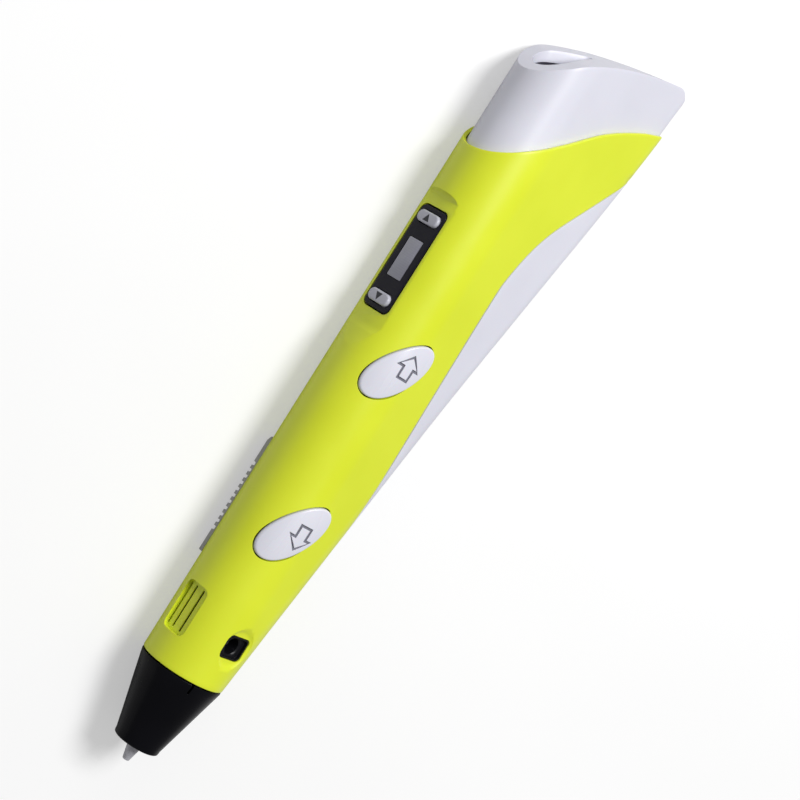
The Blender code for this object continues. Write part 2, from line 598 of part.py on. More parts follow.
def speed_slider(pen):
    """A ridged knob over the front cover, its stem through the cover's slot into the slide potentiometer."""
    middle, length = sum(SLIDER_X) / 2, SLIDER_X[1] - SLIDER_X[0]
    frame = radial_frame(middle, SLIDER_PHI)
    head = along(HEAD_RADIUS, middle)
    under, root, top = head - 1.0, head + SLIDER_BASE, head + SLIDER_RISE
    ridged = RIDGE_PITCH * (RIDGE_COUNT - 1) + RIDGE_WIDTH
    start = -length / 2 + 6.0
    side = [(-length / 2, under), (-length / 2, top - 0.5), (-length / 2 + 0.5, top), (start - 0.8, top),
            (start - 0.8, root)]
    for index in range(RIDGE_COUNT):
        left = start + RIDGE_PITCH * index
        side += [(left, root), (left, top - 0.15), (left + 0.15, top), (left + RIDGE_WIDTH - 0.15, top),
                 (left + RIDGE_WIDTH, top - 0.15), (left + RIDGE_WIDTH, root)]
    side += [(start + ridged + 0.8, root), (start + ridged + 0.8, top), (length / 2 - 1.8, top - 0.5),
             (length / 2, under + 0.2), (length / 2, under)]
    stand = Matrix(((1, 0, 0, 0), (0, 0, -1, 0), (0, 1, 0, 0), (0, 0, 0, 1)))
    knob = pen.add("speed_slider", prism(side, -SLIDER_WIDTH / 2, SLIDER_WIDTH / 2, frame @ stand), "white_plastic")
    hollow = turned([(SLIDER_X[0] - 5.0, 0.0), (SLIDER_X[0] - 5.0, head + 0.15), (SLIDER_X[1] + 5.0, head + 0.15),
                     (SLIDER_X[1] + 5.0, 0.0)], 72)
    cut(knob, pen.add("slider_seat_cutter", hollow))
    half_length, half_width = SLIDER_STEM[0] / 2, SLIDER_STEM[1] / 2
    stem = box((-half_length, -half_width, 7.6), (half_length, half_width, head + SLIDER_BASE + 0.1), frame)
    combine(knob, pen.add("slider_stem", stem), "UNION")
    crown = turned([(SLIDER_X[0] - 1.0, 0.0), (SLIDER_X[0] - 1.0, top), (SLIDER_X[1] + 1.0, top),
                    (SLIDER_X[1] + 1.0, 0.0)], 72)
    combine(knob, pen.add("slider_crown", crown), "INTERSECT")

    body = pen.add("slide_potentiometer", box((-12.0, -2.2, 3.2), (12.0, 2.2, 6.4), frame), "frame_grey")
    track = 2 * SLIDER_TRAVEL + 2.0
    cut(body, pen.add("track_cutter", box((-track / 2 - 1.0, -0.7, 4.2), (track / 2 + 1.0, 0.7, 8.0), frame)))
    wiper = box((-1.4, -0.5, 4.5), (1.4, 0.5, 7.3), frame)
    pen.add("slide_wiper", wiper, "steel")


# --- Filament drive ---------------------------------------------------------------------------------------------

def gear_outline(teeth, root, outer, root_share, tip_share):
    """Teeth with straight flanks. The shares are of one tooth's pitch."""
    points = []
    pitch = 2 * math.pi / teeth
    for tooth in range(teeth):
        middle = pitch * tooth
        for radius, offset in ((root, -root_share / 2), (outer, -tip_share / 2), (outer, tip_share / 2),
                               (root, root_share / 2)):
            angle = middle + pitch * offset
            points.append((radius * math.cos(angle), radius * math.sin(angle)))
    return points


def worm_thread(x0, x1, phase):
    """A helical ridge about X, as a closed strip of quads with end caps."""
    steps_per_turn = 16
    turns = (x1 - x0) / WORM_LEAD
    count = int(turns * steps_per_turn)
    rings = []
    for step in range(count + 1):
        angle = 2 * math.pi * step / steps_per_turn + phase
        x = x0 + WORM_LEAD * step / steps_per_turn
        ring = []
        for dx, radius in ((-0.34, 0.75), (-0.13, 1.85), (0.13, 1.85), (0.34, 0.75)):
            ring.append((x + dx, radius * math.cos(angle), radius * math.sin(angle)))
        rings.append(ring)
    return loft(rings)


def filament_drive(pen):
    chassis = pen.add("feed_chassis", box((CHASSIS_X[0], -7.2, -3.0), (CHASSIS_X[1], 5.9, 3.0)), "frame_grey")
    inside = box((CHASSIS_X[0] + 1.2, -9.0, -2.1), (CHASSIS_X[1] - 1.2, 9.0, 2.1))
    cut(chassis, pen.add("chassis_cutter", inside))
    bore = turned([(70.0, 0.0), (70.0, 1.2), (110.0, 1.2), (110.0, 0.0)], 16)
    cut(chassis, pen.add("filament_bore_cutter", bore))
    shaft_hole = prism(circle(1.1, 16), -5.0, 5.0, cross_frame(FEED_X, FEED_AXIS_Y))
    cut(chassis, pen.add("feed_shaft_cutter", shaft_hole))
    pin_hole = prism(circle(0.8, 12), -5.0, 5.0, cross_frame(*IDLER_PIVOT))
    cut(chassis, pen.add("pivot_cutter", pin_hole))

    place = cross_frame(FEED_X, FEED_AXIS_Y)
    feed_pivot = (FEED_X, FEED_AXIS_Y, 0.0)
    teeth = gear_outline(FEED_TEETH, 2.35, FEED_OUTER_RADIUS, 0.56, 0.2)
    teeth = turned_outline(teeth, 360 / FEED_TEETH / 2 + 90)
    gear = pen.add("feed_gear", prism(teeth, -1.1, 1.1, place), "brass", feed_pivot)
    cut(gear, pen.add("feed_bore_cutter", prism(circle(0.95, 12), -3.0, 3.0, place)))
    pen.add("feed_shaft", prism(circle(0.85, 12), -3.3, 3.3, place), "steel", feed_pivot)

    axis = Matrix.Translation((0.0, WORM_AXIS_Y, 0.0))
    worm = pen.add("drive_worm", turned([(87.4, 0.0), (87.4, 0.95), (102.9, 0.95), (102.9, 0.0)],
                                        16, axis), "steel", (0.0, WORM_AXIS_Y, 0.0))
    thread = worm_thread(FEED_X - 2.5 * WORM_LEAD, FEED_X + 2.5 * WORM_LEAD, math.pi)
    bmesh.ops.transform(thread, matrix=axis, verts=thread.verts)
    combine(worm, pen.add("worm_thread", thread), "UNION")
    worm_hole = turned([(95.0, 0.0), (95.0, 1.3), (110.0, 1.3), (110.0, 0.0)], 16, axis)
    cut(chassis, pen.add("worm_hole_cutter", worm_hole))


def motor_outline(radius, flat):
    """A circle with two flats that face the pen's sides."""
    angle = math.asin(flat / radius)
    half = [(radius * math.cos(angle * t / 3), radius * math.sin(angle * t / 3)) for t in range(-3, 4)]
    return half + [(-y, -z) for y, z in half]


def motor(pen):
    place = Matrix.Translation((0.0, WORM_AXIS_Y, 0.0)) @ ALONG_PEN
    pen.add("gearbox_case", prism(motor_outline(5.6, 4.6), 103.3, 112.2, place), "brass")
    pen.add("motor_can", prism(motor_outline(5.8, 4.8), 112.5, 127.4, place), "steel")
    pen.add("motor_end_cap", prism(motor_outline(5.3, 4.4), 127.7, 129.4, place), "black_plastic")
    for side, y in (("a", 2.6), ("b", -2.6)):
        terminal = box((129.7, WORM_AXIS_Y + y - 0.2, -0.8), (132.2, WORM_AXIS_Y + y + 0.2, 0.8))
        pen.add(f"motor_terminal_{side}", terminal, "brass")


def idler(pen):
    """A spring-loaded arm that holds a ball bearing over the filament."""
    pivot = (*IDLER_PIVOT, 0.0)
    arm_side = [(FEED_X - 2.0, IDLER_AXIS_Y - 1.1), (FEED_X - 2.0, IDLER_AXIS_Y + 1.4), (IDLER_PIVOT[0], 6.5),
                (IDLER_PIVOT[0] + 1.3, IDLER_PIVOT[1]), (IDLER_PIVOT[0], IDLER_PIVOT[1] - 1.3),
                (FEED_X + 1.5, IDLER_AXIS_Y - 1.3)]
    arm = pen.add("idler_arm", prism(arm_side, -1.9, 1.9), "frame_grey", pivot)
    cut(arm, pen.add("arm_fork_cutter", box((FEED_X - 4.0, 0.0, -1.25), (FEED_X + 3.3, 9.0, 1.25))))
    cut(arm, pen.add("arm_pivot_cutter", prism(circle(0.8, 12), -4.0, 4.0, cross_frame(*IDLER_PIVOT))))
    bearing_place = cross_frame(FEED_X, IDLER_AXIS_Y)
    cut(arm, pen.add("arm_axle_cutter", prism(circle(0.75, 12), -4.0, 4.0, bearing_place)))
    pen.add("idler_pivot_pin", prism(circle(0.62, 12), -3.0, 3.0, cross_frame(*IDLER_PIVOT)), "steel", pivot)
    pen.add("idler_axle", prism(circle(0.6, 12), -1.9, 1.9, bearing_place), "steel", pivot)
    bearing = pen.add("idler_bearing", prism(circle(IDLER_RADIUS, 24), -1.0, 1.0, bearing_place), "steel",
                      (FEED_X, IDLER_AXIS_Y, 0.0))
    cut(bearing, pen.add("bearing_bore_cutter", prism(circle(0.75, 12), -2.0, 2.0, bearing_place)))


# --- Tail -------------------------------------------------------------------------------------------------------

def filament_path(pen):
    guide = [(103.2, 1.1), (103.2, 1.6), (149.7, 1.6), (149.7, 1.1)]
    pen.add("filament_guide_tube", turned(guide, 14), "tube_white")
    funnel = [(150.0, 1.2), (150.0, 2.6), (152.5, 2.6), (158.0, 7.0), (175.0, 7.0), (175.0, 6.2), (158.5, 6.2),
              (152.0, 1.2)]
    piece = pen.add("filament_funnel", turned(funnel, 28), "white_plastic")
    combine(piece, pen.add("funnel_face", tail_end(TAIL_WALL + GAP)), "INTERSECT")


def fasteners(pen):
    """Screws that hold the drive chassis to its boss, heads outwards."""
    places = {
        "chassis_screw_front": (85.0, -90.0),
        "chassis_screw_rear": (101.8, -90.0),
    }
    for name, (x, phi) in places.items():
        frame = radial_frame(x, phi)
        pen.add(name, prism(circle(1.1, 10), 3.3, 4.3, frame), "steel")


def stand_on_floor(pen):
    """Rolls the pen on to its flank and puts the origin at the bottom centre of its box."""
    pen.root.rotation_euler.x = section(REST_X)[3]
    bpy.context.view_layer.update()
    graph = bpy.context.evaluated_depsgraph_get()
    corners = []
    for obj in pen.root.children:
        if obj.hide_render:
            continue
        evaluated = obj.evaluated_get(graph)
        corners += [evaluated.matrix_world @ v.co for v in evaluated.data.vertices]
    low = Vector([min(c[i] for c in corners) for i in range(3)])
    high = Vector([max(c[i] for c in corners) for i in range(3)])
    middle = (low + high) / 2
    pen.root.location = (-middle.x, -middle.y, -low.z)


def main():
    for obj in list(bpy.data.objects):
        bpy.data.objects.remove(obj)
    pen = Pen()
    front_cover(pen)
    back_cover(pen)
    nose_cone(pen)
    hot_end(pen)
    cooling_fan(pen)
    power_socket(pen)
    display(pen)
    oval_buttons(pen)
    speed_slider(pen)
    filament_drive(pen)
    motor(pen)
    idler(pen)
    filament_path(pen)
    fasteners(pen)
    stand_on_floor(pen)
    bpy.context.view_layer.update()


main()
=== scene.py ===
"""Display model of a handheld drawing pen that melts plastic filament, set on a pale table under soft light.

Shapes are drawn in the pen's own axes, in millimetres: X runs from the nozzle tip to the tail, Y points to the
display and Z to the side with the two oval buttons. PEN_TO_ROW then takes them to the frame, in metres.
"""

import json
import logging
import math
from collections.abc import Callable, Iterable, Sequence
from dataclasses import dataclass, field
from enum import Enum

import bmesh
import bpy
from mathutils import Matrix, Vector


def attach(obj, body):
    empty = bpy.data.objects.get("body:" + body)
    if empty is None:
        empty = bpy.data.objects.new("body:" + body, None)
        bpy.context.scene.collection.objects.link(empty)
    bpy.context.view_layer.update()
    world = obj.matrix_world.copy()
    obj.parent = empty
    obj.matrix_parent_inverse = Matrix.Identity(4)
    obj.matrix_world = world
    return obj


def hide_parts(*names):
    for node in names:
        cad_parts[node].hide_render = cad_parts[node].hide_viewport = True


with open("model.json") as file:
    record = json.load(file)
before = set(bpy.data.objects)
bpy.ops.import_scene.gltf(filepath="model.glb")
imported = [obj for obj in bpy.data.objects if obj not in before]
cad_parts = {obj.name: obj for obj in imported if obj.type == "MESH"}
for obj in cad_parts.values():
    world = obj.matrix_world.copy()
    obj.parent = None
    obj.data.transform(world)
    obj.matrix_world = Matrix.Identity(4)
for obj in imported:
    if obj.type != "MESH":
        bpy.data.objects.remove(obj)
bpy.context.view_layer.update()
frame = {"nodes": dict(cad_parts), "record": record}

log = logging.getLogger("pen")

MM = 0.001
PEN_ROLL = math.radians(12.262952)
PEN_TO_ROW = (Matrix.Translation((-0.09115001, 0.01261989, 0.00982009)) @ Matrix.Rotation(PEN_ROLL, 4, "X")
              @ Matrix.Scale(MM, 4))

HALVINGS = 26  # of the interval, when a height is looked up on an outline
EASING_STEPS = 24  # towards an end curve, each by this share of what is left:
EASING = 0.6
CUT_FROM, CUT_TO = 4.0, 14.0  # how far from the pen's axis the cutters reach
X_TO_Z = Matrix.Rotation(-math.pi / 2, 4, "Y")

Point = tuple[float, float]
Colour = tuple[float, float, float]


# --- Finishes ---------------------------------------------------------------------------------------------------


class NodeSheet:
    """Builds the node tree of one material."""

    def __init__(self, name: str) -> None:
        """Makes the material with a fresh Principled shader.

        Args:
            name: The material's name.
        """
        self.material = bpy.data.materials.new(name)
        self.material.use_nodes = True
        self.tree = self.material.node_tree
        self.shader = self.tree.nodes["Principled BSDF"]
        self.object_space = self.tree.nodes.new("ShaderNodeTexCoord").outputs["Object"]

    def add(self, kind: str, inputs: dict | None = None, **settings: object) -> bpy.types.Node:
        """Adds a node.

        Args:
            kind: The node's type name.
            inputs: Input name to a constant or to another node's output.
            settings: Properties of the node.

        Returns:
            The new node.
        """
        node = self.tree.nodes.new(kind)
        for key, value in settings.items():
            setattr(node, key, value)
        for key, value in (inputs or {}).items():
            if isinstance(value, bpy.types.NodeSocket):
                self.tree.links.new(value, node.inputs[key])
            else:
                node.inputs[key].default_value = value
        return node

    def place(self, scale: Sequence[float] = (1.0, 1.0, 1.0), turn: Sequence[float] = (0.0, 0.0, 0.0)
              ) -> bpy.types.NodeSocket:
        """Object coordinates through a Mapping node, stretched by scale and turned by turn."""
        mapping = self.add("ShaderNodeMapping", {"Vector": self.object_space, "Scale": scale, "Rotation": turn})
        return mapping.outputs["Vector"]

    def noise(self, per_mm: float, detail: float = 3.0, where: bpy.types.NodeSocket | None = None
              ) -> bpy.types.NodeSocket:
        """Adds a noise texture.

        Args:
            per_mm: Roughly how many blobs there are to a millimetre.
            detail: How many finer layers are added.
            where: The coordinates, if they aren't the plain Object ones.

        Returns:
            The noise value.
        """
        node = self.add("ShaderNodeTexNoise", {"Vector": where or self.object_space, "Scale": per_mm / MM,
                                               "Detail": detail, "Roughness": 0.55})
        return node.outputs["Fac"]

    def spread(self, value: bpy.types.NodeSocket, low: float, high: float) -> bpy.types.NodeSocket:
        """Stretches the middle of a noise value.

        Args:
            value: The noise value.
            low: What it is stretched down to.
            high: What it is stretched up to.

        Returns:
            The new value.
        """
        node = self.add("ShaderNodeMapRange", {"Value": value, "From Min": 0.3, "From Max": 0.7, "To Min": low,
                                               "To Max": high})
        return node.outputs["Result"]

    def ramp(self, value: bpy.types.NodeSocket, stops: Sequence[tuple[float, Colour]]) -> bpy.types.NodeSocket:
        """Adds a colour ramp.

        Args:
            value: What the ramp is read at.
            stops: The ramp's positions and colours.

        Returns:
            The colour.
        """
        node = self.add("ShaderNodeValToRGB", {"Fac": value})
        elements = node.color_ramp.elements
        while len(elements) < len(stops):
            elements.new(0.5)
        for element, (position, colour) in zip(elements, stops):
            element.position = position
            element.color = (*colour, 1.0)
        return node.outputs["Color"]

    def wire(self, output: bpy.types.NodeSocket, name: str) -> None:
        """Links an output to the shader's input of that name."""
        self.tree.links.new(output, self.shader.inputs[name])

    def relief(self, height: bpy.types.NodeSocket, depth_mm: float, under: bpy.types.NodeSocket | None = None,
               strength: float = 0.5) -> bpy.types.NodeSocket:
        """Adds a bump.

        Args:
            height: The value that stands for the height.
            depth_mm: The depth in millimetres that a value of 1 stands for.
            under: An earlier normal that the bump goes on, if there is one.
            strength: How strongly the bump shows.

        Returns:
            The normal.
        """
        inputs = {"Height": height, "Distance": depth_mm * MM, "Strength": strength}
        if under:
            inputs["Normal"] = under
        return self.add("ShaderNodeBump", inputs).outputs["Normal"]

    def set(self, **constants: float) -> None:
        """Sets constants on the shader; underscores stand for spaces."""
        for key, value in constants.items():
            self.shader.inputs[key.replace("_", " ")].default_value = value


@dataclass(frozen=True)
class BaseFinish:
    """What every finish has: its material's name, a lighter colour and a darker one."""

    name: str
    light: Colour
    dark: Colour

    def build(self) -> bpy.types.Material:
        """Builds the material.

        Returns:
            The material.
        """
        sheet = NodeSheet(self.name)
        self.paint(sheet)
        return sheet.material

    def paint(self, sheet: NodeSheet) -> None:
        """Fills the material's sheet."""
        raise NotImplementedError


@dataclass(frozen=True)
class PlasticFinish(BaseFinish):
    """Moulded plastic: a faint flow mottle, a fine spark-eroded grain and small scuffs in the gloss."""

    roughness: Point = (0.26, 0.38)
    grain_mm: float = 0.012
    coat: float = 0.0
    subsurface: float = 0.0
    specular: float = 0.5
    edge_mm: float = 0.16

    def paint(self, sheet: NodeSheet) -> None:
        """Fills the material's sheet.

        Args:
            sheet: The sheet to fill.
        """
        mottle = sheet.noise(0.055, 2.0)
        sheet.wire(sheet.ramp(mottle, [(0.32, self.dark), (0.68, self.light)]), "Base Color")
        scuffs = sheet.noise(0.5, 6.0, sheet.place((0.25, 1.0, 1.0), (0.0, 0.0, 0.4)))
        sheet.wire(sheet.spread(scuffs, *self.roughness), "Roughness")
        soft_edge = sheet.add("ShaderNodeBevel", {"Radius": self.edge_mm * MM}, samples=4).outputs["Normal"]
        grain = sheet.relief(sheet.noise(5.0, 2.0), self.grain_mm, soft_edge, 0.35)
        flow = sheet.relief(sheet.noise(0.12, 1.0), 0.03, grain, 0.25)
        sheet.wire(flow, "Normal")
        sheet.set(Coat_Weight=self.coat, Coat_Roughness=0.3, Subsurface_Weight=self.subsurface,
                  Subsurface_Scale=0.0008, IOR=1.46, Specular_IOR_Level=self.specular)


@dataclass(frozen=True)
class MetalFinish(BaseFinish):
    """Turned or drawn metal with fine lines along one axis and small dull patches."""

    lines: tuple[float, float, float] = (1.0, 14.0, 14.0)
    roughness: Point = (0.22, 0.4)

    def paint(self, sheet: NodeSheet) -> None:
        """Fills the material's sheet.

        Args:
            sheet: The sheet to fill.
        """
        drawn = sheet.noise(0.6, 4.0, sheet.place(self.lines))
        patches = sheet.noise(0.35, 3.0)
        sheet.wire(sheet.ramp(patches, [(0.3, self.dark), (0.7, self.light)]), "Base Color")
        sheet.wire(sheet.spread(drawn, *self.roughness), "Roughness")
        sheet.wire(sheet.relief(drawn, 0.01, None, 0.4), "Normal")
        sheet.set(Metallic=1.0)


@dataclass(frozen=True)
class CeramicFinish(BaseFinish):
    """Fired ceramic: fine pores, a speckle of darker grains and a chalky sheen."""

    def paint(self, sheet: NodeSheet) -> None:
        """Fills the material's sheet.

        Args:
            sheet: The sheet to fill.
        """
        speckle = sheet.noise(3.5, 5.0)
        sheet.wire(sheet.ramp(speckle, [(0.3, self.dark), (0.62, self.light)]), "Base Color")
        sheet.wire(sheet.spread(speckle, 0.5, 0.34), "Roughness")
        pores = sheet.add("ShaderNodeTexVoronoi", {"Vector": sheet.object_space, "Scale": 2.4 / MM})
        rough = sheet.relief(pores.outputs["Distance"], 0.02, None, 0.3)
        sheet.wire(sheet.relief(speckle, 0.02, rough, 0.4), "Normal")
        sheet.set(Coat_Weight=0.15, Coat_Roughness=0.3)


@dataclass(frozen=True)
class BoardFinish(BaseFinish):
    """Circuit board under dark solder mask: copper tracks show as lighter, raised stripes."""

    def paint(self, sheet: NodeSheet) -> None:
        """Fills the material's sheet.

        Args:
            sheet: The sheet to fill.
        """
        tracks = sheet.add("ShaderNodeTexBrick", {"Vector": sheet.place(turn=(0.6, 0.0, 0.0)), "Scale": 0.3 / MM,
                                                  "Color1": (*self.dark, 1.0), "Color2": (*self.dark, 1.0),
                                                  "Mortar": (*self.light, 1.0), "Mortar Size": 0.07,
                                                  "Mortar Smooth": 0.2}, offset=0.4)
        sheet.wire(tracks.outputs["Color"], "Base Color")
        weave = sheet.noise(4.0, 2.0)
        sheet.wire(sheet.spread(weave, 0.3, 0.5), "Roughness")
        raised = sheet.relief(tracks.outputs["Fac"], 0.03, None, 0.6)
        sheet.wire(sheet.relief(weave, 0.01, raised, 0.3), "Normal")
        sheet.set(Coat_Weight=0.3, Coat_Roughness=0.2)


@dataclass(frozen=True)
class WindowFinish(BaseFinish):
    """Unlit liquid-crystal window: faint cell rows under a glossy front."""

    def paint(self, sheet: NodeSheet) -> None:
        """Fills the material's sheet.

        Args:
            sheet: The sheet to fill.
        """
        rows = sheet.add("ShaderNodeTexWave", {"Vector": sheet.object_space, "Scale": 0.62 / MM, "Distortion": 0.0},
                         wave_type="BANDS", bands_direction="X")
        cloud = sheet.noise(0.12, 2.0)
        mixed = sheet.add("ShaderNodeMath", {0: rows.outputs["Fac"], 1: 0.12}, operation="MULTIPLY")
        total = sheet.add("ShaderNodeMath", {0: mixed.outputs[0], 1: cloud}, operation="ADD")
        sheet.wire(sheet.ramp(total.outputs[0], [(0.35, self.dark), (0.75, self.light)]), "Base Color")
        sheet.wire(sheet.spread(cloud, 0.08, 0.16), "Roughness")
        sheet.wire(sheet.relief(sheet.noise(0.4, 2.0), 0.01, None, 0.2), "Normal")
        sheet.set(Coat_Weight=0.6, Coat_Roughness=0.05)


@dataclass(frozen=True)
class FilmFinish(BaseFinish):
    """Amber film wound round hot parts: overlapping turns with a satin gloss."""

    def paint(self, sheet: NodeSheet) -> None:
        """Fills the material's sheet.

        Args:
            sheet: The sheet to fill.
        """
        turns = sheet.add("ShaderNodeTexWave", {"Vector": sheet.place(turn=(0.0, 0.0, 0.3)), "Scale": 0.14 / MM,
                                                "Distortion": 0.6, "Detail": 2.0}, wave_profile="SAW")
        sheet.wire(sheet.ramp(turns.outputs["Fac"], [(0.1, self.dark), (0.8, self.light)]), "Base Color")
        sheet.wire(sheet.spread(sheet.noise(1.2), 0.28, 0.5), "Roughness")
        sheet.wire(sheet.relief(turns.outputs["Fac"], 0.06, None, 0.5), "Normal")


@dataclass(frozen=True)
class TableFinish(BaseFinish):
    """The pale table top: matt paint with a barely visible roller texture, brighter to the viewer than to the pen."""

    glow: float = 0.42

    def paint(self, sheet: NodeSheet) -> None:
        """Fills the material's sheet.

        Args:
            sheet: The sheet to fill.
        """
        cloud = sheet.noise(0.01, 2.0)
        sheet.wire(sheet.ramp(cloud, [(0.3, self.dark), (0.7, self.light)]), "Base Color")
        sheet.wire(sheet.relief(sheet.noise(1.0, 2.0), 0.01, None, 0.1), "Normal")
        seen = sheet.add("ShaderNodeLightPath").outputs["Is Camera Ray"]
        sheet.wire(sheet.ramp(seen, [(0.0, (0.0, 0.0, 0.0)), (1.0, (1.0, 1.0, 1.0))]), "Emission Color")
        sheet.set(Roughness=0.9, Specular_IOR_Level=0.1, Emission_Strength=self.glow)


class Finish(Enum):
    """Every finish on the pen and under it."""

    YELLOW = PlasticFinish("yellow_shell", (0.80, 0.89, 0.032), (0.76, 0.85, 0.024), (0.34, 0.44), 0.008, 0.3, 0.03)
    WHITE = PlasticFinish("white_shell", (0.78, 0.78, 0.87), (0.74, 0.74, 0.83), (0.28, 0.38), 0.008, 0.1, 0.03)
    KNOB = PlasticFinish("white_caps", (0.80, 0.80, 0.88), (0.76, 0.76, 0.85), (0.22, 0.32), 0.006, 0.15, 0.03)
    BLACK = PlasticFinish("black_nose", (0.004, 0.004, 0.006), (0.002, 0.002, 0.003), (0.20, 0.28), 0.005, 0.0, 0.0,
                          0.13)
    SOCKET = PlasticFinish("socket_black", (0.010, 0.010, 0.012), (0.006, 0.006, 0.008), (0.3, 0.42), 0.01, 0.0,
                           0.0, 0.25)
    BEZEL = PlasticFinish("bezel_black", (0.016, 0.015, 0.024), (0.011, 0.010, 0.018), (0.3, 0.4), 0.003, 0.0, 0.0,
                          0.2)
    # Painted shade: white plastic given a mid grey, so the slider knob and the filament funnel look shaded.
    SLIDER = PlasticFinish("slider_white", (0.50, 0.49, 0.56), (0.44, 0.43, 0.50), (0.34, 0.44), 0.008)
    KEY = PlasticFinish("silver_keys", (0.56, 0.56, 0.64), (0.50, 0.50, 0.58), (0.28, 0.36), 0.006, 0.1)
    MARK = PlasticFinish("printed_mark", (0.035, 0.035, 0.045), (0.025, 0.025, 0.035), (0.4, 0.5), 0.01)
    # Painted shade: a dark grey sheet that lies at the floor of the arrow grooves, where shade falls.
    ICON = PlasticFinish("groove_grey", (0.22, 0.22, 0.26), (0.18, 0.18, 0.22), (0.4, 0.5), 0.01)
    FRAME = PlasticFinish("frame_grey", (0.10, 0.10, 0.11), (0.07, 0.07, 0.08), (0.4, 0.55), 0.02)
    TUBE = PlasticFinish("slippery_tube", (0.84, 0.84, 0.80), (0.76, 0.76, 0.73), (0.3, 0.4), 0.01, 0.0, 0.2)
    WINDOW = WindowFinish("display_glass", (0.37, 0.37, 0.45), (0.30, 0.30, 0.37))
    CERAMIC = CeramicFinish("nozzle_ceramic", (0.62, 0.62, 0.67), (0.44, 0.44, 0.48))
    STEEL = MetalFinish("drawn_steel", (0.62, 0.62, 0.64), (0.48, 0.48, 0.50))
    BRASS = MetalFinish("turned_brass", (0.78, 0.60, 0.27), (0.62, 0.45, 0.18))
    BOARD = BoardFinish("circuit_board", (0.07, 0.32, 0.12), (0.02, 0.16, 0.06))
    FILM = FilmFinish("amber_film", (0.82, 0.56, 0.20), (0.55, 0.32, 0.08))
    TABLE = TableFinish("pale_table", (0.60, 0.60, 0.60), (0.58, 0.58, 0.58))

    def material(self) -> bpy.types.Material:
        """The finish's material, built on first use."""
        return bpy.data.materials.get(self.value.name) or self.value.build()


SLOT_FINISH = {
    "yellow_plastic": Finish.YELLOW,
    "white_plastic": Finish.WHITE,
    "black_plastic": Finish.BLACK,
    "panel_black": Finish.BEZEL,
    "window_grey": Finish.WINDOW,
    "key_grey": Finish.KEY,
    "ceramic": Finish.CERAMIC,
    "steel": Finish.STEEL,
    "brass": Finish.BRASS,
    "circuit_green": Finish.BOARD,
    "insulation": Finish.FILM,
    "tube_white": Finish.TUBE,
    "frame_grey": Finish.FRAME,
}


# --- The pen's own geometry -------------------------------------------------------------------------------------


def smooth_curve(points: Sequence[Point], pieces: int = 10) -> list[Point]:
    """Draws a Catmull-Rom curve.

    Args:
        points: What the curve goes through.
        pieces: How many straight pieces lie between neighbours.

    Returns:
        The curve's points.
    """
    ends = [points[0], *points, points[-1]]
    curve = []
    for p0, p1, p2, p3 in zip(ends, ends[1:], ends[2:], ends[3:]):
        for step in range(pieces):
            t = step / pieces
            curve.append(tuple(
                0.5 * (2 * b + (c - a) * t + (2 * a - 5 * b + 4 * c - d) * t * t + (3 * b - a - 3 * c + d) * t ** 3)
                for a, b, c, d in zip(p0, p1, p2, p3)))
    curve.append(tuple(points[-1]))
    return curve


def follow(curve: Sequence[Point], key: float) -> float:
    """Reads a curve whose first value only rises.

    Args:
        curve: The curve's points.
        key: The first value to look for.

    Returns:
        The second value there.
    """
    if key <= curve[0][0]:
        return curve[0][1]
    for (k0, v0), (k1, v1) in zip(curve, curve[1:]):
        if key <= k1:
            return v0 + (v1 - v0) * (key - k0) / max(k1 - k0, 1e-9)
    return curve[-1][1]


@dataclass(frozen=True)
class Teardrop:
    """A large arc and a small arc joined by two straight flanks, symmetric about local Y."""

    head: float
    centre: float
    keel: float
    shift: float = 0.0

    @property
    def lean(self) -> float:
        """How far the flanks lean in towards the small arc."""
        return math.asin(max(0.0, min((self.head - self.keel) / max(self.centre, 1e-6), 1.0)))

    def lengths(self) -> tuple[float, float, float]:
        """Lengths of the large arc, flank and small arc of one half."""
        flank = math.sqrt(max(self.centre ** 2 - (self.head - self.keel) ** 2, 0.0))
        return self.head * (math.pi / 2 + self.lean), flank, self.keel * (math.pi / 2 - self.lean)

    def half_length(self) -> float:
        """Length of one half of the outline."""
        return sum(self.lengths())

    def at(self, reach: float) -> Point:
        """Finds a point on one half of the outline.

        Args:
            reach: How far along it is, from the top of the large arc.

        Returns:
            Its y and z.
        """
        arc, flank, tip = self.lengths()
        if reach <= arc:
            angle = reach / self.head
            return self.shift + self.head * math.cos(angle), self.head * math.sin(angle)
        turn = math.pi / 2 + self.lean
        if reach <= arc + flank:
            share = (reach - arc) / flank
            start = (self.head * math.cos(turn), self.head * math.sin(turn))
            end = (-self.centre + self.keel * math.cos(turn), self.keel * math.sin(turn))
            return self.shift + start[0] + (end[0] - start[0]) * share, start[1] + (end[1] - start[1]) * share
        angle = turn + min((reach - arc - flank) / self.keel, math.pi / 2 - self.lean)
        return self.shift - self.centre + self.keel * math.cos(angle), self.keel * math.sin(angle)

    def reach_of(self, y: float) -> float:
        """Finds where one half of the outline passes a height.

        Args:
            y: The height.

        Returns:
            How far along the outline that is.
        """
        low, high = 0.0, self.half_length()
        if self.at(high)[0] >= y:
            return high
        for _ in range(HALVINGS):
            middle = (low + high) / 2
            if self.at(middle)[0] > y:
                low = middle
            else:
                high = middle
        return (low + high) / 2


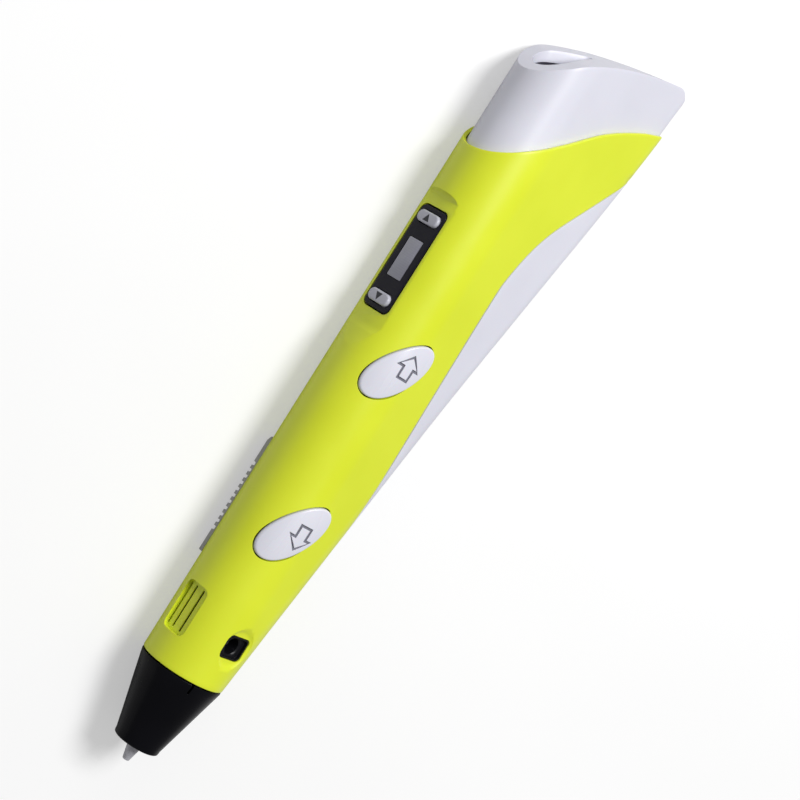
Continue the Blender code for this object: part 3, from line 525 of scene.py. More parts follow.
@dataclass(frozen=True)
class BodyForm:
    """The outer form that both covers share: a round head and a keel that grows towards the tail."""

    length: float = 183.2
    joint: float = 22.6
    head: Point = (9.55, 9.8)
    keel: Point = (9.55, 2.4)
    keel_line: tuple[Point, ...] = ((22.6, 9.55), (60.0, 15.5), (98.0, 21.7), (124.0, 26.7), (148.0, 31.35),
                                    (163.0, 34.0), (174.0, 35.6), (190.0, 37.2))
    rim: tuple[Point, ...] = ((144.0, 13.0), (145.4, 9.8), (147.5, 7.0), (151.0, 2.5), (156.6, -5.8),
                              (163.6, -15.8), (169.1, -27.3), (171.8, -36.0), (172.6, -39.0))
    parting: tuple[Point, ...] = ((40.0, -14.6), (49.7, -14.2), (86.2, -13.0), (118.5, -12.0), (128.0, -12.6),
                                  (138.4, -16.4), (149.6, -24.8), (161.4, -34.3), (166.9, -39.0))
    tail: tuple[Point, ...] = ((161.0, 12.0), (164.2, 9.0), (168.8, 4.5), (172.2, 0.0), (176.1, -9.0),
                               (179.0, -18.0), (181.1, -26.0), (182.0, -30.0), (182.3, -31.8), (181.9, -33.5),
                               (180.5, -35.2), (177.5, -37.4))
    ease: float = 7.0

    def along(self, pair: Point, x: float) -> float:
        """A value that runs straight from the nose joint to the tail."""
        return pair[0] + (pair[1] - pair[0]) * max(0.0, (x - self.joint) / (self.length - self.joint))

    def depth(self, x: float) -> float:
        """Gives the depth of the keel's edge, with the line's corners eased.

        Args:
            x: Where along the pen.

        Returns:
            The depth below the axis.
        """
        reach = min(self.ease, max(x - self.joint, 0.0))
        shares = (-1.0, -0.5, 0.0, 0.5, 1.0)
        return sum(follow(self.keel_line, x + reach * share) for share in shares) / len(shares)

    def outline(self, x: float, inset: float = 0.0, keel_inset: float | None = None) -> Teardrop:
        """Gives a cross-section.

        Args:
            x: Where along the pen.
            inset: How far it is drawn in.
            keel_inset: How far the keel's edge is drawn in, if it isn't the same.

        Returns:
            The outline.
        """
        keel_inset = inset if keel_inset is None else keel_inset
        head = self.along(self.head, x) - inset
        keel = min(max(self.along(self.keel, x) - inset, 0.4), head)
        centre = max(0.0, self.depth(x) - keel_inset - keel)
        return Teardrop(head, max(centre, head - keel + 1e-6), keel)

    def rim_at(self, y: float) -> float:
        """Where the front cover's rim is, at that height above the axis."""
        return follow(RIM_BY_HEIGHT, -y)

    def tail_at(self, y: float) -> float:
        """Where the tail's end face is, at that height above the axis."""
        return follow(TAIL_BY_HEIGHT, -y)

    def parting_at(self, x: float) -> float:
        """Gives the height of the side parting line.

        Args:
            x: Where along the pen.

        Returns:
            The height, or one far below the keel where there is no line.
        """
        if not self.parting[0][0] <= x <= self.parting[-1][0]:
            return -60.0
        return follow(PARTING_BY_X, x)


FORM = BodyForm()
RIM_BY_HEIGHT = [(-y, x) for x, y in smooth_curve(FORM.rim)]
TAIL_BY_HEIGHT = [(-y, x) for x, y in smooth_curve(FORM.tail)]
PARTING_BY_X = smooth_curve(FORM.parting)


def meet(x: float, height: Callable[[float], float], ends: Callable[[float], float]) -> float:
    """Finds where a line along the pen meets an end curve.

    Args:
        x: Where the search starts.
        height: Gives the line's height at x.
        ends: Gives the end curve's x at a height.

    Returns:
        The x where they meet.
    """
    for _ in range(EASING_STEPS):
        x += EASING * (ends(height(x)) - x)
    return x


def radial_frame(x: float, phi_degrees: float, radius: float = 0.0) -> Matrix:
    """Makes a frame with X along the pen, Z out of it and Y back towards the display.

    Args:
        x: Where along the pen it stands.
        phi_degrees: Its turn round the pen, from the display.
        radius: Its distance from the pen's axis.

    Returns:
        The frame.
    """
    phi = math.radians(phi_degrees)
    out = Vector((0.0, math.cos(phi), math.sin(phi)))
    forward = Vector((1.0, 0.0, 0.0))
    turn = Matrix((forward, out.cross(forward), out)).transposed().to_4x4()
    return Matrix.Translation(out * radius + forward * x) @ turn


# --- Mesh tools -------------------------------------------------------------------------------------------------


def mapped_sheet(across: int, around: int, place: Callable[[float, float], Sequence[float]]) -> bmesh.types.BMesh:
    """A grid bent to shape.

    Args:
        across: Number of faces along the first direction.
        around: Number of faces along the second.
        place: Takes both directions' shares, 0 to 1, and gives the point.

    Returns:
        The bmesh.
    """
    bm = bmesh.new()
    bmesh.ops.create_grid(bm, x_segments=across, y_segments=around, size=1.0)
    for vert in bm.verts:
        vert.co = Vector(place(round((vert.co.x + 1) / 2, 6), round((vert.co.y + 1) / 2, 6)))
    return bm


def weld(bm: bmesh.types.BMesh, reach: float = 1e-4) -> None:
    """Merges doubles and turns the faces outwards.

    Args:
        bm: The mesh.
        reach: How close doubles are, in millimetres.
    """
    bmesh.ops.remove_doubles(bm, verts=bm.verts, dist=reach)
    bmesh.ops.dissolve_degenerate(bm, edges=bm.edges, dist=1e-5)
    bmesh.ops.recalc_face_normals(bm, faces=bm.faces)


def round_edges(bm: bmesh.types.BMesh, width: float, over_degrees: float = 40.0, segments: int = 3,
                wanted: Callable[[bmesh.types.BMEdge], bool] | None = None) -> None:
    """Bevels the edges that turn by more than an angle.

    Args:
        bm: The mesh.
        width: Bevel width in millimetres.
        over_degrees: Edges that turn less stay.
        segments: Steps over the bevel.
        wanted: An extra test on each edge.
    """
    limit = math.radians(over_degrees)
    edges = [e for e in bm.edges if len(e.link_faces) == 2 and e.calc_face_angle(0.0) > limit
             and (wanted is None or wanted(e))]
    bmesh.ops.bevel(bm, geom=edges, offset=width, offset_type="OFFSET", affect="EDGES", segments=segments,
                    profile=0.5, material=-1, clamp_overlap=True)


def rounded_rectangle(length: float, width: float, radius: float, steps: int = 6) -> list[Point]:
    """Draws a rectangle with round corners, centred on the origin.

    Args:
        length: Its size along X.
        width: Its size along Y.
        radius: The corners' radius.
        steps: Straight pieces to a corner.

    Returns:
        The outline.
    """
    points = []
    for corner, (sx, sy) in enumerate([(1, 1), (-1, 1), (-1, -1), (1, -1)]):
        cx, cy = sx * (length / 2 - radius), sy * (width / 2 - radius)
        for step in range(steps + 1):
            angle = math.pi / 2 * (corner + step / steps)
            points.append((cx + radius * math.cos(angle), cy + radius * math.sin(angle)))
    return points


def ellipse(a: float, b: float, steps: int = 72) -> list[Point]:
    """Points round an ellipse."""
    return [(a * math.cos(2 * math.pi * i / steps), b * math.sin(2 * math.pi * i / steps)) for i in range(steps)]


def turned_outline(points: Iterable[Point], degrees: float, shift: Point = (0.0, 0.0)) -> list[Point]:
    """Turns points about the origin and then shifts them.

    Args:
        points: The points.
        degrees: The turn.
        shift: The shift.

    Returns:
        The new points.
    """
    c, s = math.cos(math.radians(degrees)), math.sin(math.radians(degrees))
    return [(x * c - y * s + shift[0], x * s + y * c + shift[1]) for x, y in points]


def moved(bm: bmesh.types.BMesh, place: Matrix) -> bmesh.types.BMesh:
    """The mesh taken into a frame."""
    bmesh.ops.transform(bm, matrix=place, verts=bm.verts)
    return bm


def above(height: float) -> Callable[[bmesh.types.BMEdge], bool]:
    """A test for edges that lie wholly above a height."""
    return lambda edge: min(vert.co.z for vert in edge.verts) > height


def prism(outline: Sequence[Point], low: float, high: float, place: Matrix | None = None) -> bmesh.types.BMesh:
    """Extrudes an outline along its local Z.

    Args:
        outline: The outline.
        low: Where the solid starts.
        high: Where it ends.
        place: The frame that it is drawn in.

    Returns:
        The solid.
    """
    bm = bmesh.new()
    face = bm.faces.new([bm.verts.new((x, y, low)) for x, y in outline])
    made = bmesh.ops.extrude_face_region(bm, geom=[face])
    bmesh.ops.translate(bm, vec=(0.0, 0.0, high - low),
                        verts=[v for v in made["geom"] if isinstance(v, bmesh.types.BMVert)])
    bmesh.ops.recalc_face_normals(bm, faces=bm.faces)
    return moved(bm, place) if place else bm


def slab(length: float, width: float, radius: float, low: float, high: float, place: Matrix | None = None,
         steps: int = 6) -> bmesh.types.BMesh:
    """A block with round corners, from low to high along its local Z."""
    return prism(rounded_rectangle(length, width, radius, steps), low, high, place)


def turned(profile: Sequence[Point], steps: int = 64, place: Matrix | None = None) -> bmesh.types.BMesh:
    """Turns a profile about X.

    Args:
        profile: Its (x, radius) points. If it starts off the axis it is a closed loop.
        steps: Faces round the axis.
        place: The frame that it is drawn in.

    Returns:
        The solid.
    """
    bm = bmesh.new()
    verts = [bm.verts.new((x, r, 0.0)) for x, r in profile]
    pairs = list(zip(verts, verts[1:]))
    if profile[0][1] > 0:
        pairs.append((verts[-1], verts[0]))
    edges = [bm.edges.new(pair) for pair in pairs]
    bmesh.ops.spin(bm, geom=verts + edges, cent=(0, 0, 0), axis=(1, 0, 0), angle=2 * math.pi, steps=steps,
                   use_merge=True)
    weld(bm)
    return moved(bm, place) if place else bm


def joined(parts: Iterable[bmesh.types.BMesh]) -> bmesh.types.BMesh:
    """Puts several meshes into one.

    Args:
        parts: The meshes, which are used up.

    Returns:
        The whole.
    """
    whole = bmesh.new()
    for part in parts:
        copy = bpy.data.meshes.new("part")
        part.to_mesh(copy)
        part.free()
        whole.from_mesh(copy)
        bpy.data.meshes.remove(copy)
    return whole


def to_object(name: str, bm: bmesh.types.BMesh) -> bpy.types.Object:
    """Makes a linked object.

    Args:
        name: Its name.
        bm: Its mesh, which is used up.

    Returns:
        The object.
    """
    mesh = bpy.data.meshes.new(name)
    bm.to_mesh(mesh)
    bm.free()
    obj = bpy.data.objects.new(name, mesh)
    bpy.context.scene.collection.objects.link(obj)
    return obj


def carve(bm: bmesh.types.BMesh, others: Iterable[bmesh.types.BMesh], operation: str = "DIFFERENCE"
          ) -> bmesh.types.BMesh:
    """Applies exact Booleans, one after another.

    Args:
        bm: The mesh, which is used up.
        others: The meshes it is combined with, which are used up too.
        operation: DIFFERENCE, UNION or INTERSECT.

    Returns:
        The result.
    """
    base = to_object("base", bm)
    tools = []
    for number, other in enumerate(others):
        tool = to_object(f"tool_{number}", other)
        modifier = base.modifiers.new(f"step_{number}", "BOOLEAN")
        modifier.operation = operation
        modifier.solver = "EXACT"
        modifier.object = tool
        tools.append(tool)
    bpy.context.view_layer.update()
    evaluated = base.evaluated_get(bpy.context.evaluated_depsgraph_get())
    result = bmesh.new()
    result.from_mesh(evaluated.to_mesh())
    evaluated.to_mesh_clear()
    for obj in (base, *tools):
        mesh = obj.data
        bpy.data.objects.remove(obj)
        bpy.data.meshes.remove(mesh)
    return result


def finish_piece(name: str, bm: bmesh.types.BMesh, finish: Finish, body: str,
                 stands_for: Sequence[str] = (), sharp_degrees: float = 35.0) -> bpy.types.Object:
    """Turns a bmesh in pen millimetres into a finished piece of the pen.

    Args:
        name: The piece's name.
        bm: Its mesh, which is used up.
        finish: Its finish.
        body: The body it rides on.
        stands_for: The CAD nodes it replaces.
        sharp_degrees: Edges that turn by more are shaded sharp.

    Returns:
        The object.
    """
    bmesh.ops.recalc_face_normals(moved(bm, PEN_TO_ROW), faces=bm.faces)
    obj = to_object(name, bm)
    obj.data.materials.append(finish.material())
    obj.data.shade_smooth()
    obj.data.set_sharp_from_angle(angle=math.radians(sharp_degrees))
    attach(obj, body)
    if stands_for:
        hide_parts(*stands_for)
    log.info("%s: %d faces, %s", name, len(obj.data.polygons), finish.value.name)
    return obj


# --- Covers -----------------------------------------------------------------------------------------------------


@dataclass
class DisplayRecess:
    """The flat-floored scoop that the display sits in."""

    ramp_start: float = 98.2
    floor_start: float = 104.0
    floor_end: float = 132.9
    wall_end: float = 134.9
    floor: float = 8.3
    panel_x: float = 118.9
    panel_size: Point = (23.8, 8.3)
    panel_corner: float = 1.3
    gap: float = 0.3
    foot: Point = (1.6, 0.42)
    wall_rise: float = 2.4
    clear: Point = (13.0, 30.0)

    def frame(self) -> Matrix:
        """Local X along the pen and local Z out of the floor, at the panel's centre."""
        return radial_frame(self.panel_x, 0.0, self.floor)

    def cutters(self) -> list[bmesh.types.BMesh]:
        """Makes the scoop and the panel's pocket.

        Returns:
            The two cutters.
        """
        high, wide = self.clear
        side = [(self.ramp_start, FORM.along(FORM.head, self.ramp_start) + 0.02)]
        for step in range(7):
            side.append((self.floor_start - self.foot[0] + self.foot[0] * step / 6,
                         self.floor + self.foot[1] * (1 - step / 6) ** 2))
        for step in range(9):
            angle = math.pi / 2 * step / 8
            side.append((self.floor_end + (self.wall_end - self.floor_end) * math.sin(angle),
                         self.floor + self.wall_rise * (1 - math.cos(angle))))
        side += [(self.wall_end, high), (self.ramp_start, high)]
        length, width = (size + 2 * self.gap for size in self.panel_size)
        return [prism(side, -wide, wide),
                slab(length, width, self.panel_corner + self.gap, -4.0, 3.0, self.frame())]


@dataclass
class VentGrille:
    """A shallow recess with four slots over the fan."""

    x: Point = (29.1, 40.3)
    phi: float = 5.0
    width: float = 6.6
    depth: float = 1.0
    slots: tuple[float, ...] = (-2.85, -1.2, 1.2, 2.85)
    slot_width: float = 0.55
    corner: float = 1.4

    def cutters(self) -> list[bmesh.types.BMesh]:
        """Makes the vent's recess and its slots.

        Returns:
            The two cutters.
        """
        middle, length = sum(self.x) / 2, self.x[1] - self.x[0]
        place = radial_frame(middle, self.phi)
        floor = FORM.along(FORM.head, middle) - self.depth - 0.35
        slots = []
        for where in self.slots:
            slot = [(x, y + where) for x, y in rounded_rectangle(length - 1.4, self.slot_width, 0.22, 4)]
            slots.append(prism(slot, CUT_FROM, 12.0, place))
        return [slab(length, self.width, self.corner, floor, CUT_TO, place), joined(slots)]


@dataclass
class Covers:
    """The front cover, and the back cover's tail and belly strip."""

    wall: float = 1.6
    gap: float = 0.3
    tail_step: float = 1.12
    tail_keel_step: float = 0.4
    tail_wall: float = 2.8
    lip: float = 0.35
    overlap: float = 2.4
    rebate_gap: float = 0.3
    around: int = 120
    belly_x: Point = (53.5, 162.5)
    inlet: Teardrop = Teardrop(4.2, 7.3, 1.1, 2.5)
    recess: DisplayRecess = field(default_factory=DisplayRecess)
    vent: VentGrille = field(default_factory=VentGrille)

    def side_reach(self, x: float) -> float:
        """How far down one side the front cover goes at x."""
        return FORM.outline(x).reach_of(FORM.parting_at(x))

    def rim_x(self, share: float) -> float:
        """Where the front cover's line at that share of its side meets the rim."""
        return meet(160.0, lambda x: FORM.outline(x).at(share * self.side_reach(x))[0], FORM.rim_at)

    def half_front(self, across: int, around: int) -> bmesh.types.BMesh:
        """Makes one side of the front cover.

        Args:
            across: Faces along the pen.
            around: Faces round one side.

        Returns:
            The sheet.
        """
        rims = {}

        def place(u: float, v: float) -> tuple[float, float, float]:
            """Finds a point of the side.

            Args:
                u: Its share of the way from the nose to the rim.
                v: Its share of the way down the side.

            Returns:
                The point.
            """
            if v not in rims:
                rims[v] = self.rim_x(v)
            x = FORM.joint + (rims[v] - FORM.joint) * u
            y, z = FORM.outline(x).at(v * self.side_reach(x))
            return x, y, z

        return mapped_sheet(across, around, place)

    def front_skin(self) -> bmesh.types.BMesh:
        """Makes the front cover as a walled shell with rounded rims, without its openings.

        Returns:
            The shell.
        """
        bm = self.half_front(150, 44)
        bmesh.ops.mirror(bm, geom=[*bm.verts, *bm.edges, *bm.faces], axis="Z", merge_dist=1e-4)
        weld(bm, 2e-3)
        bmesh.ops.solidify(bm, geom=bm.faces[:], thickness=self.wall)
        weld(bm, 1e-4)
        round_edges(bm, self.lip, 50.0)
        return bm

    def front_cutters(self) -> list[bmesh.types.BMesh]:
        """Everything that is cut out of the front cover."""
        return [self.rebate(), *self.recess.cutters(), *self.vent.cutters(), *(button.hole() for button in OVALS),
                SLIDER.slot_cutter(), *SOCKET.cutters()]

    def build_front(self) -> None:
        """The yellow front cover."""
        shell = carve(self.front_skin(), self.front_cutters())
        finish_piece("front_shell", shell, Finish.YELLOW, "case", ["front_cover"])

    def tail_outline(self, x: float, extra: float = 0.0) -> Teardrop:
        """The tail's cross-section at x."""
        return FORM.outline(x, self.tail_step + extra, self.tail_keel_step + extra)

    def ring(self, maker: Callable[[float, float], Sequence[float]]) -> list[Vector]:
        """Points round the tail, from what maker gives for a share of one half and its side."""
        turns = (2 * step / self.around for step in range(self.around))
        return [Vector(maker(turn, 1.0) if turn <= 1 else maker(2 - turn, -1.0)) for turn in turns]

    def rebate(self) -> bmesh.types.BMesh:
        """Makes the step inside the front cover's rim that the tail slips into.

        Returns:
            The step as a solid to cut away.
        """
        rows = []
        for back in (-3.0, -1.0, 1.0, 3.0):
            rows.append(self.ring(lambda share, side, by=back: self.tail_point(
                share, side, lambda height: FORM.rim_at(height) + by, -self.rebate_gap)))
        flat = [[Vector((point.x, point.y, 0.0)) for point in row] for row in (rows[0], rows[-1])]
        rows = [flat[0], *rows, flat[1]]
        count = self.around
        bm = mapped_sheet(5, count, lambda u, v: rows[round(u * 5)][round(v * count) % count])
        weld(bm, 1e-3)
        return bm

    def tail_point(self, share: float, side: float, ends: Callable[[float], float], extra: float
                   ) -> tuple[float, float, float]:
        """Finds a point on the tail's outline where it meets an end curve.

        Args:
            share: Share of one half of the outline.
            side: 1 for the button side and -1 for the other.
            ends: Gives x from the height above the axis.
            extra: Further inset, for the inner wall.

        Returns:
            The point.
        """
        def point(x: float) -> Point:
            """The outline's y and z at x."""
            outline = self.tail_outline(x, extra)
            return outline.at(share * outline.half_length())

        x = meet(168.0, lambda at: point(at)[0], ends)
        y, z = point(x)
        return x, y, side * z

    def build_tail(self) -> None:
        """The white tail, with its end face and the filament's teardrop opening."""
        rows = []

        def wall(ends: Callable[[float], float], extra: float) -> list[Vector]:
            """The ring where the outline, drawn in by extra, meets an end curve."""
            return self.ring(lambda share, side: self.tail_point(share, side, ends, extra))

        def hole(back: float) -> list[Vector]:
            """Makes a ring of the opening.

            Args:
                back: How far it is from the end face.

            Returns:
                The ring.
            """
            def drop(share: float, side: float) -> tuple[float, float, float]:
                """One point of the ring."""
                y, z = self.inlet.at(share * self.inlet.half_length())
                return FORM.tail_at(y) - back, y, side * z

            return self.ring(drop)

        def start(y: float) -> float:
            """Where the tail starts, under the front cover's rim."""
            return FORM.rim_at(y) - self.overlap

        def inner_face(y: float) -> float:
            """Where the end wall's inner face is."""
            return FORM.tail_at(y) - self.tail_wall

        rings = [wall(start, 0.0), wall(FORM.tail_at, 0.0), hole(0.0), hole(self.tail_wall),
                 wall(inner_face, self.wall), wall(start, self.wall)]
        for first, last, steps, back in zip(rings, rings[1:] + rings[:1], (24, 16, 4, 10, 16, 2),
                                            (None, 0.0, None, self.tail_wall, None, None)):
            for step in range(steps):
                row = [a.lerp(b, step / steps) for a, b in zip(first, last)]
                if back is not None:
                    row = [Vector((FORM.tail_at(p.y) - back, p.y, p.z)) for p in row]
                rows.append(row)
        count, around = len(rows), self.around
        bm = mapped_sheet(count, around, lambda u, v: rows[round(u * count) % count][round(v * around) % around])
        weld(bm, 1e-3)
        round_edges(bm, self.lip, 45.0)
        finish_piece("tail_shell", bm, Finish.WHITE, "case", ["back_cover"])

    def build_belly(self) -> None:
        """The white strip along the keel, between the front cover's lower edges."""
        first, last = self.belly_x

        def place(u: float, v: float) -> tuple[float, float, float]:
            """Finds a point of the strip.

            Args:
                u: Its share of the strip's length.
                v: Its share of the way across.

            Returns:
                The point.
            """
            x = first + (last - first) * u
            outline = FORM.outline(x)
            low = outline.half_length()
            top = min(outline.reach_of(FORM.parting_at(x)) + self.gap, low)
            across = 2 * v - 1
            y, z = outline.at(low - (low - top) * abs(across))
            return x, y, math.copysign(z, across)

        bm = mapped_sheet(120, 32, place)
        weld(bm, 1e-3)
        bmesh.ops.solidify(bm, geom=bm.faces[:], thickness=self.wall)
        weld(bm)
        round_edges(bm, 0.25, 50.0)
        finish_piece("belly_strip", bm, Finish.WHITE, "case", ["back_cover"])


# --- Controls ---------------------------------------------------------------------------------------------------


class Arrow(Enum):
    """Which way an oval button moves the filament."""

    TO_TAIL = 0.0
    TO_NOSE = 180.0


@dataclass
class OvalButton:
    """A large oval button with an engraved block arrow, in its hole in the front cover."""

    name: str
    x: float
    phi: float
    arrow: Arrow
    radii: Point = (8.65, 4.35)
    slant: float = -35.0
    top: float = 10.1
    bottom: float = 8.1
    underside: float = 8.3
    skirt: float = 0.8
    shoulder: float = 0.45
    dome: float = 0.35
    gap: float = 0.3
    arrow_size: float = 2.6
    arrow_line: float = 0.55
    arrow_shift: Point = (0.0, 0.0)
    bend: Point = (10.8, 48.0)

    def hole(self) -> bmesh.types.BMesh:
        """The cutter for the button's hole."""
        outline = turned_outline(ellipse(self.radii[0] + self.gap, self.radii[1] + self.gap), self.slant)
        return prism(outline, 3.0, CUT_TO, radial_frame(self.x, self.phi))

    def cap(self) -> bmesh.types.BMesh:
        """Makes the cap: a side wall, a rounded shoulder and a gently domed top.

        Returns:
            The cap, before it is bent and has its arrow.
        """
        brow = self.top - self.dome - self.shoulder
        rings = [(self.underside, self.skirt), (self.bottom, 0.0), (brow, 0.0)]
        for step in range(1, 7):
            angle = math.pi / 2 * step / 6
            rings.append((brow + self.shoulder * math.sin(angle), self.shoulder * (1 - math.cos(angle))))
        dome = 14

        def place(u: float, v: float) -> tuple[float, float, float]:
            """Finds a point of the cap.

            Args:
                u: Its share of the way from the underside to the middle of the top.
                v: Its share of the way round.

            Returns:
                The point.
            """
            angle = 2 * math.pi * v
            index = round(u * (len(rings) + dome))
            height, draw = rings[min(index, len(rings) - 1)]
            share = 1.0
            if index >= len(rings):
                share = 1 - (index - len(rings) + 1) / (dome + 1)
                height += self.dome * (1 - share * share)
            return ((self.radii[0] - draw) * share * math.cos(angle), (self.radii[1] - draw) * share
                    * math.sin(angle), height)

        bm = mapped_sheet(len(rings) + dome, 88, place)
        weld(bm)
        bmesh.ops.holes_fill(bm, edges=[e for e in bm.edges if e.is_boundary], sides=0)
        bmesh.ops.recalc_face_normals(bm, faces=bm.faces)
        bmesh.ops.rotate(bm, verts=bm.verts, cent=(0, 0, 0), matrix=Matrix.Rotation(math.radians(self.slant), 3, "Z"))
        return bm

    def settle(self, bm: bmesh.types.BMesh) -> bmesh.types.BMesh:
        """Bends a flat part of the button round the pen, but not the cap's underside, and puts it in its place.

        Args:
            bm: The part.

        Returns:
            The same part.
        """
        for vert in bm.verts:
            radius = self.bend[0] if vert.co.y > 0 else self.bend[1]
            share = 0.5 + 0.5 * min(max(vert.co.z - self.bottom, 0.0), 1.0)
            if abs(vert.co.z - self.underside) > 0.01:
                vert.co.z += share * (math.sqrt(radius ** 2 - vert.co.y ** 2) - radius)
        return moved(bm, radial_frame(self.x, self.phi))

    def arrow_outline(self, grow: float) -> list[Point]:
        """Draws the block arrow.

        Args:
            grow: How much larger it is on every side.

        Returns:
            The outline.
        """
        size, half = self.arrow_size, self.arrow_size * 0.5
        lift = grow * 1.4
        points = [(size + lift, 0.0), (-grow, size + lift), (-grow, half + grow), (-size - grow, half + grow),
                  (-size - grow, -half - grow), (-grow, -half - grow), (-grow, -size - lift)]
        return turned_outline(points, self.arrow.value, self.arrow_shift)

    def build(self) -> None:
        """The cap with its arrow groove, and a dark grey sheet at the groove's floor as painted shade."""
        body, line = f"{self.name}_button", self.arrow_line / 2

        def band(ease: float, low: float, high: float) -> bmesh.types.BMesh:
            """The arrow's line as a solid, narrower by ease on both sides."""
            inner = prism(self.arrow_outline(-line + ease), self.top - 1.0, self.top + 2.0)
            return carve(prism(self.arrow_outline(line - ease), self.top + low, self.top + high), [inner])

        cap = self.settle(carve(self.cap(), [band(0.0, -0.45, 1.0)]))
        finish_piece(f"{self.name}_cap", cap, Finish.KNOB, body, [body])
        # Painted shade: a thin dark grey sheet laid at the groove's floor to darken it.
        painted_shade_shim = self.settle(band(0.01, -0.449, -0.36))
        finish_piece(f"{self.name}_arrow", painted_shade_shim, Finish.ICON, body)


@dataclass
class SpeedSlider:
    """The ridged speed slider on the far side of the display."""

    x: Point = (45.1, 73.1)
    phi: float = -64.0
    width: float = 4.4
    base: float = 0.17
    rise: float = 0.95
    ridges: int = 10
    pitch: float = 1.56
    ridge_width: float = 0.8
    stem: Point = (4.0, 2.0)
    stem_foot: float = 7.6
    seat: float = 0.15
    travel: float = 4.0

    @property
    def middle(self) -> float:
        """The slider's middle along the pen."""
        return sum(self.x) / 2

    def slot_cutter(self) -> bmesh.types.BMesh:
        """The slot in the front cover that the stem runs in."""
        length, width = self.stem[0] + 2 * self.travel + 1.0, self.stem[1] + 0.8
        return slab(length, width, 1.0, CUT_FROM, CUT_TO, radial_frame(self.middle, self.phi))

    def build(self) -> None:
        """The knob: two end pads and a row of grip ridges on a curved base."""
        head, length = FORM.along(FORM.head, self.middle), self.x[1] - self.x[0]
        place = radial_frame(self.middle, self.phi)
        under, root, top = head - 1.0, head + self.base, head + self.rise
        ridged = self.pitch * (self.ridges - 1) + self.ridge_width
        start = -length / 2 + 6.0
        side = [(-length / 2, under)]
        side += [(-length / 2 + 0.7 * (1 - math.cos(a)), top - 0.7 + 0.7 * math.sin(a))
                 for a in (math.pi / 2 * i / 6 for i in range(7))]
        side += [(start - 1.0, top), (start - 0.8, root + 0.1), (start - 0.7, root)]
        for index in range(self.ridges):
            left = start + self.pitch * index
            crest = [(left + self.ridge_width / 2 * (1 - math.cos(math.pi * i / 8)),
                      top - 0.3 + 0.3 * math.sin(math.pi * i / 8)) for i in range(9)]
            side += [(left, root), *crest, (left + self.ridge_width, root)]
        end = start + ridged
        side += [(end + 0.7, root), (end + 0.8, root + 0.1), (end + 1.0, top), (length / 2 - 2.2, top),
                 (length / 2 - 1.4, top - 0.12), (length / 2 - 0.4, top - 0.5), (length / 2, top - 0.7),
                 (length / 2, under)]
        stand = Matrix(((1, 0, 0, 0), (0, 0, -1, 0), (0, 1, 0, 0), (0, 0, 0, 1)))
        knob = prism(side, -self.width / 2, self.width / 2, place @ stand)

        def drum(radius: float, more: float) -> bmesh.types.BMesh:
            """A drum round the pen's axis, longer than the knob by more at both ends."""
            first, last = self.x[0] - more, self.x[1] + more
            return turned([(first, 0.0), (first, radius), (last, radius), (last, 0.0)], 144)

        knob = carve(carve(knob, [drum(head + self.seat, 5.0)]), [drum(top, 1.0)], "INTERSECT")
        stem = slab(*self.stem, 0.4, self.stem_foot, head + self.base + 0.1, place)
        knob = carve(knob, [stem], "UNION")
        # The knob's grey is painted shade on white plastic.
        finish_piece("slider_knob", knob, Finish.SLIDER, "speed_slider", ["speed_slider"], 30.0)


@dataclass
class PowerSocket:
    """The barrel socket, its hole and the shallow dish round it."""

    x: float = 32.6
    phi: float = 98.0
    hole: Point = (5.4, 6.8)
    dish: float = 5.8
    sink: float = 1.5
    collar: float = 0.72
    bore: float = 1.8

    def place(self) -> Matrix:
        """Local Z out of the socket."""
        return radial_frame(self.x, self.phi)

    def cutters(self) -> list[bmesh.types.BMesh]:
        """Makes the hole and the dish that are cut from the front cover.

        Returns:
            The two cutters.
        """
        depth = FORM.along(FORM.head, self.x)
        hole = slab(*self.hole, 1.2, CUT_FROM, CUT_TO, self.place())
        profile = [(depth - 0.7, 0.0), (depth - 0.7, 3.6), (depth - 0.55, 4.1), (depth + 0.9, self.dish + 0.6),
                   (depth + 4.0, 7.0), (depth + 4.0, 0.0)]
        return [hole, turned(profile, 96, self.place() @ X_TO_Z)]

    def build(self) -> None:
        """The socket's moulded face and block, with the bore for the plug."""
        face = FORM.along(FORM.head, self.x) - self.sink
        rim = face + self.collar
        length, width = self.hole
        nose = slab(length - 0.2, width - 0.2, 1.1, 5.0, rim)
        round_edges(nose, 0.12, 60.0, 3, above(rim - 0.01))
        sunk = slab(length - 0.9, width - 0.9, 0.8, face, face + 4.0)
        block = slab(6.0, 6.2, 0.3, 2.5, 6.2, steps=3)
        bore = prism(ellipse(self.bore, self.bore, 48), 3.4, 12.0)
        mouth = turned([(face - 0.25, 0.0), (face - 0.25, self.bore), (face + 0.1, 2.15), (face + 0.1, 0.0)], 48,
                       X_TO_Z)
        body = carve(carve(nose, [block], "UNION"), [sunk, bore, mouth])
        finish_piece("socket_body", moved(body, self.place()), Finish.SOCKET, "case",
                     ["power_socket"])
        pin = turned([(3.6, 0.0), (3.6, 0.5), (face - 1.9, 0.5), (face - 1.7, 0.42), (face - 1.6, 0.25),
                      (face - 1.58, 0.0)], 32, self.place() @ X_TO_Z)
        finish_piece("socket_pin", pin, Finish.STEEL, "case", ["power_pin"])


OVALS = (
    OvalButton("retract", 98.6, 80.5, Arrow.TO_TAIL, arrow_shift=(1.7, -1.05)),
    OvalButton("feed", 59.4, 78.0, Arrow.TO_NOSE, arrow_shift=(-0.2, -1.29)),
)
SLIDER = SpeedSlider()
SOCKET = PowerSocket()


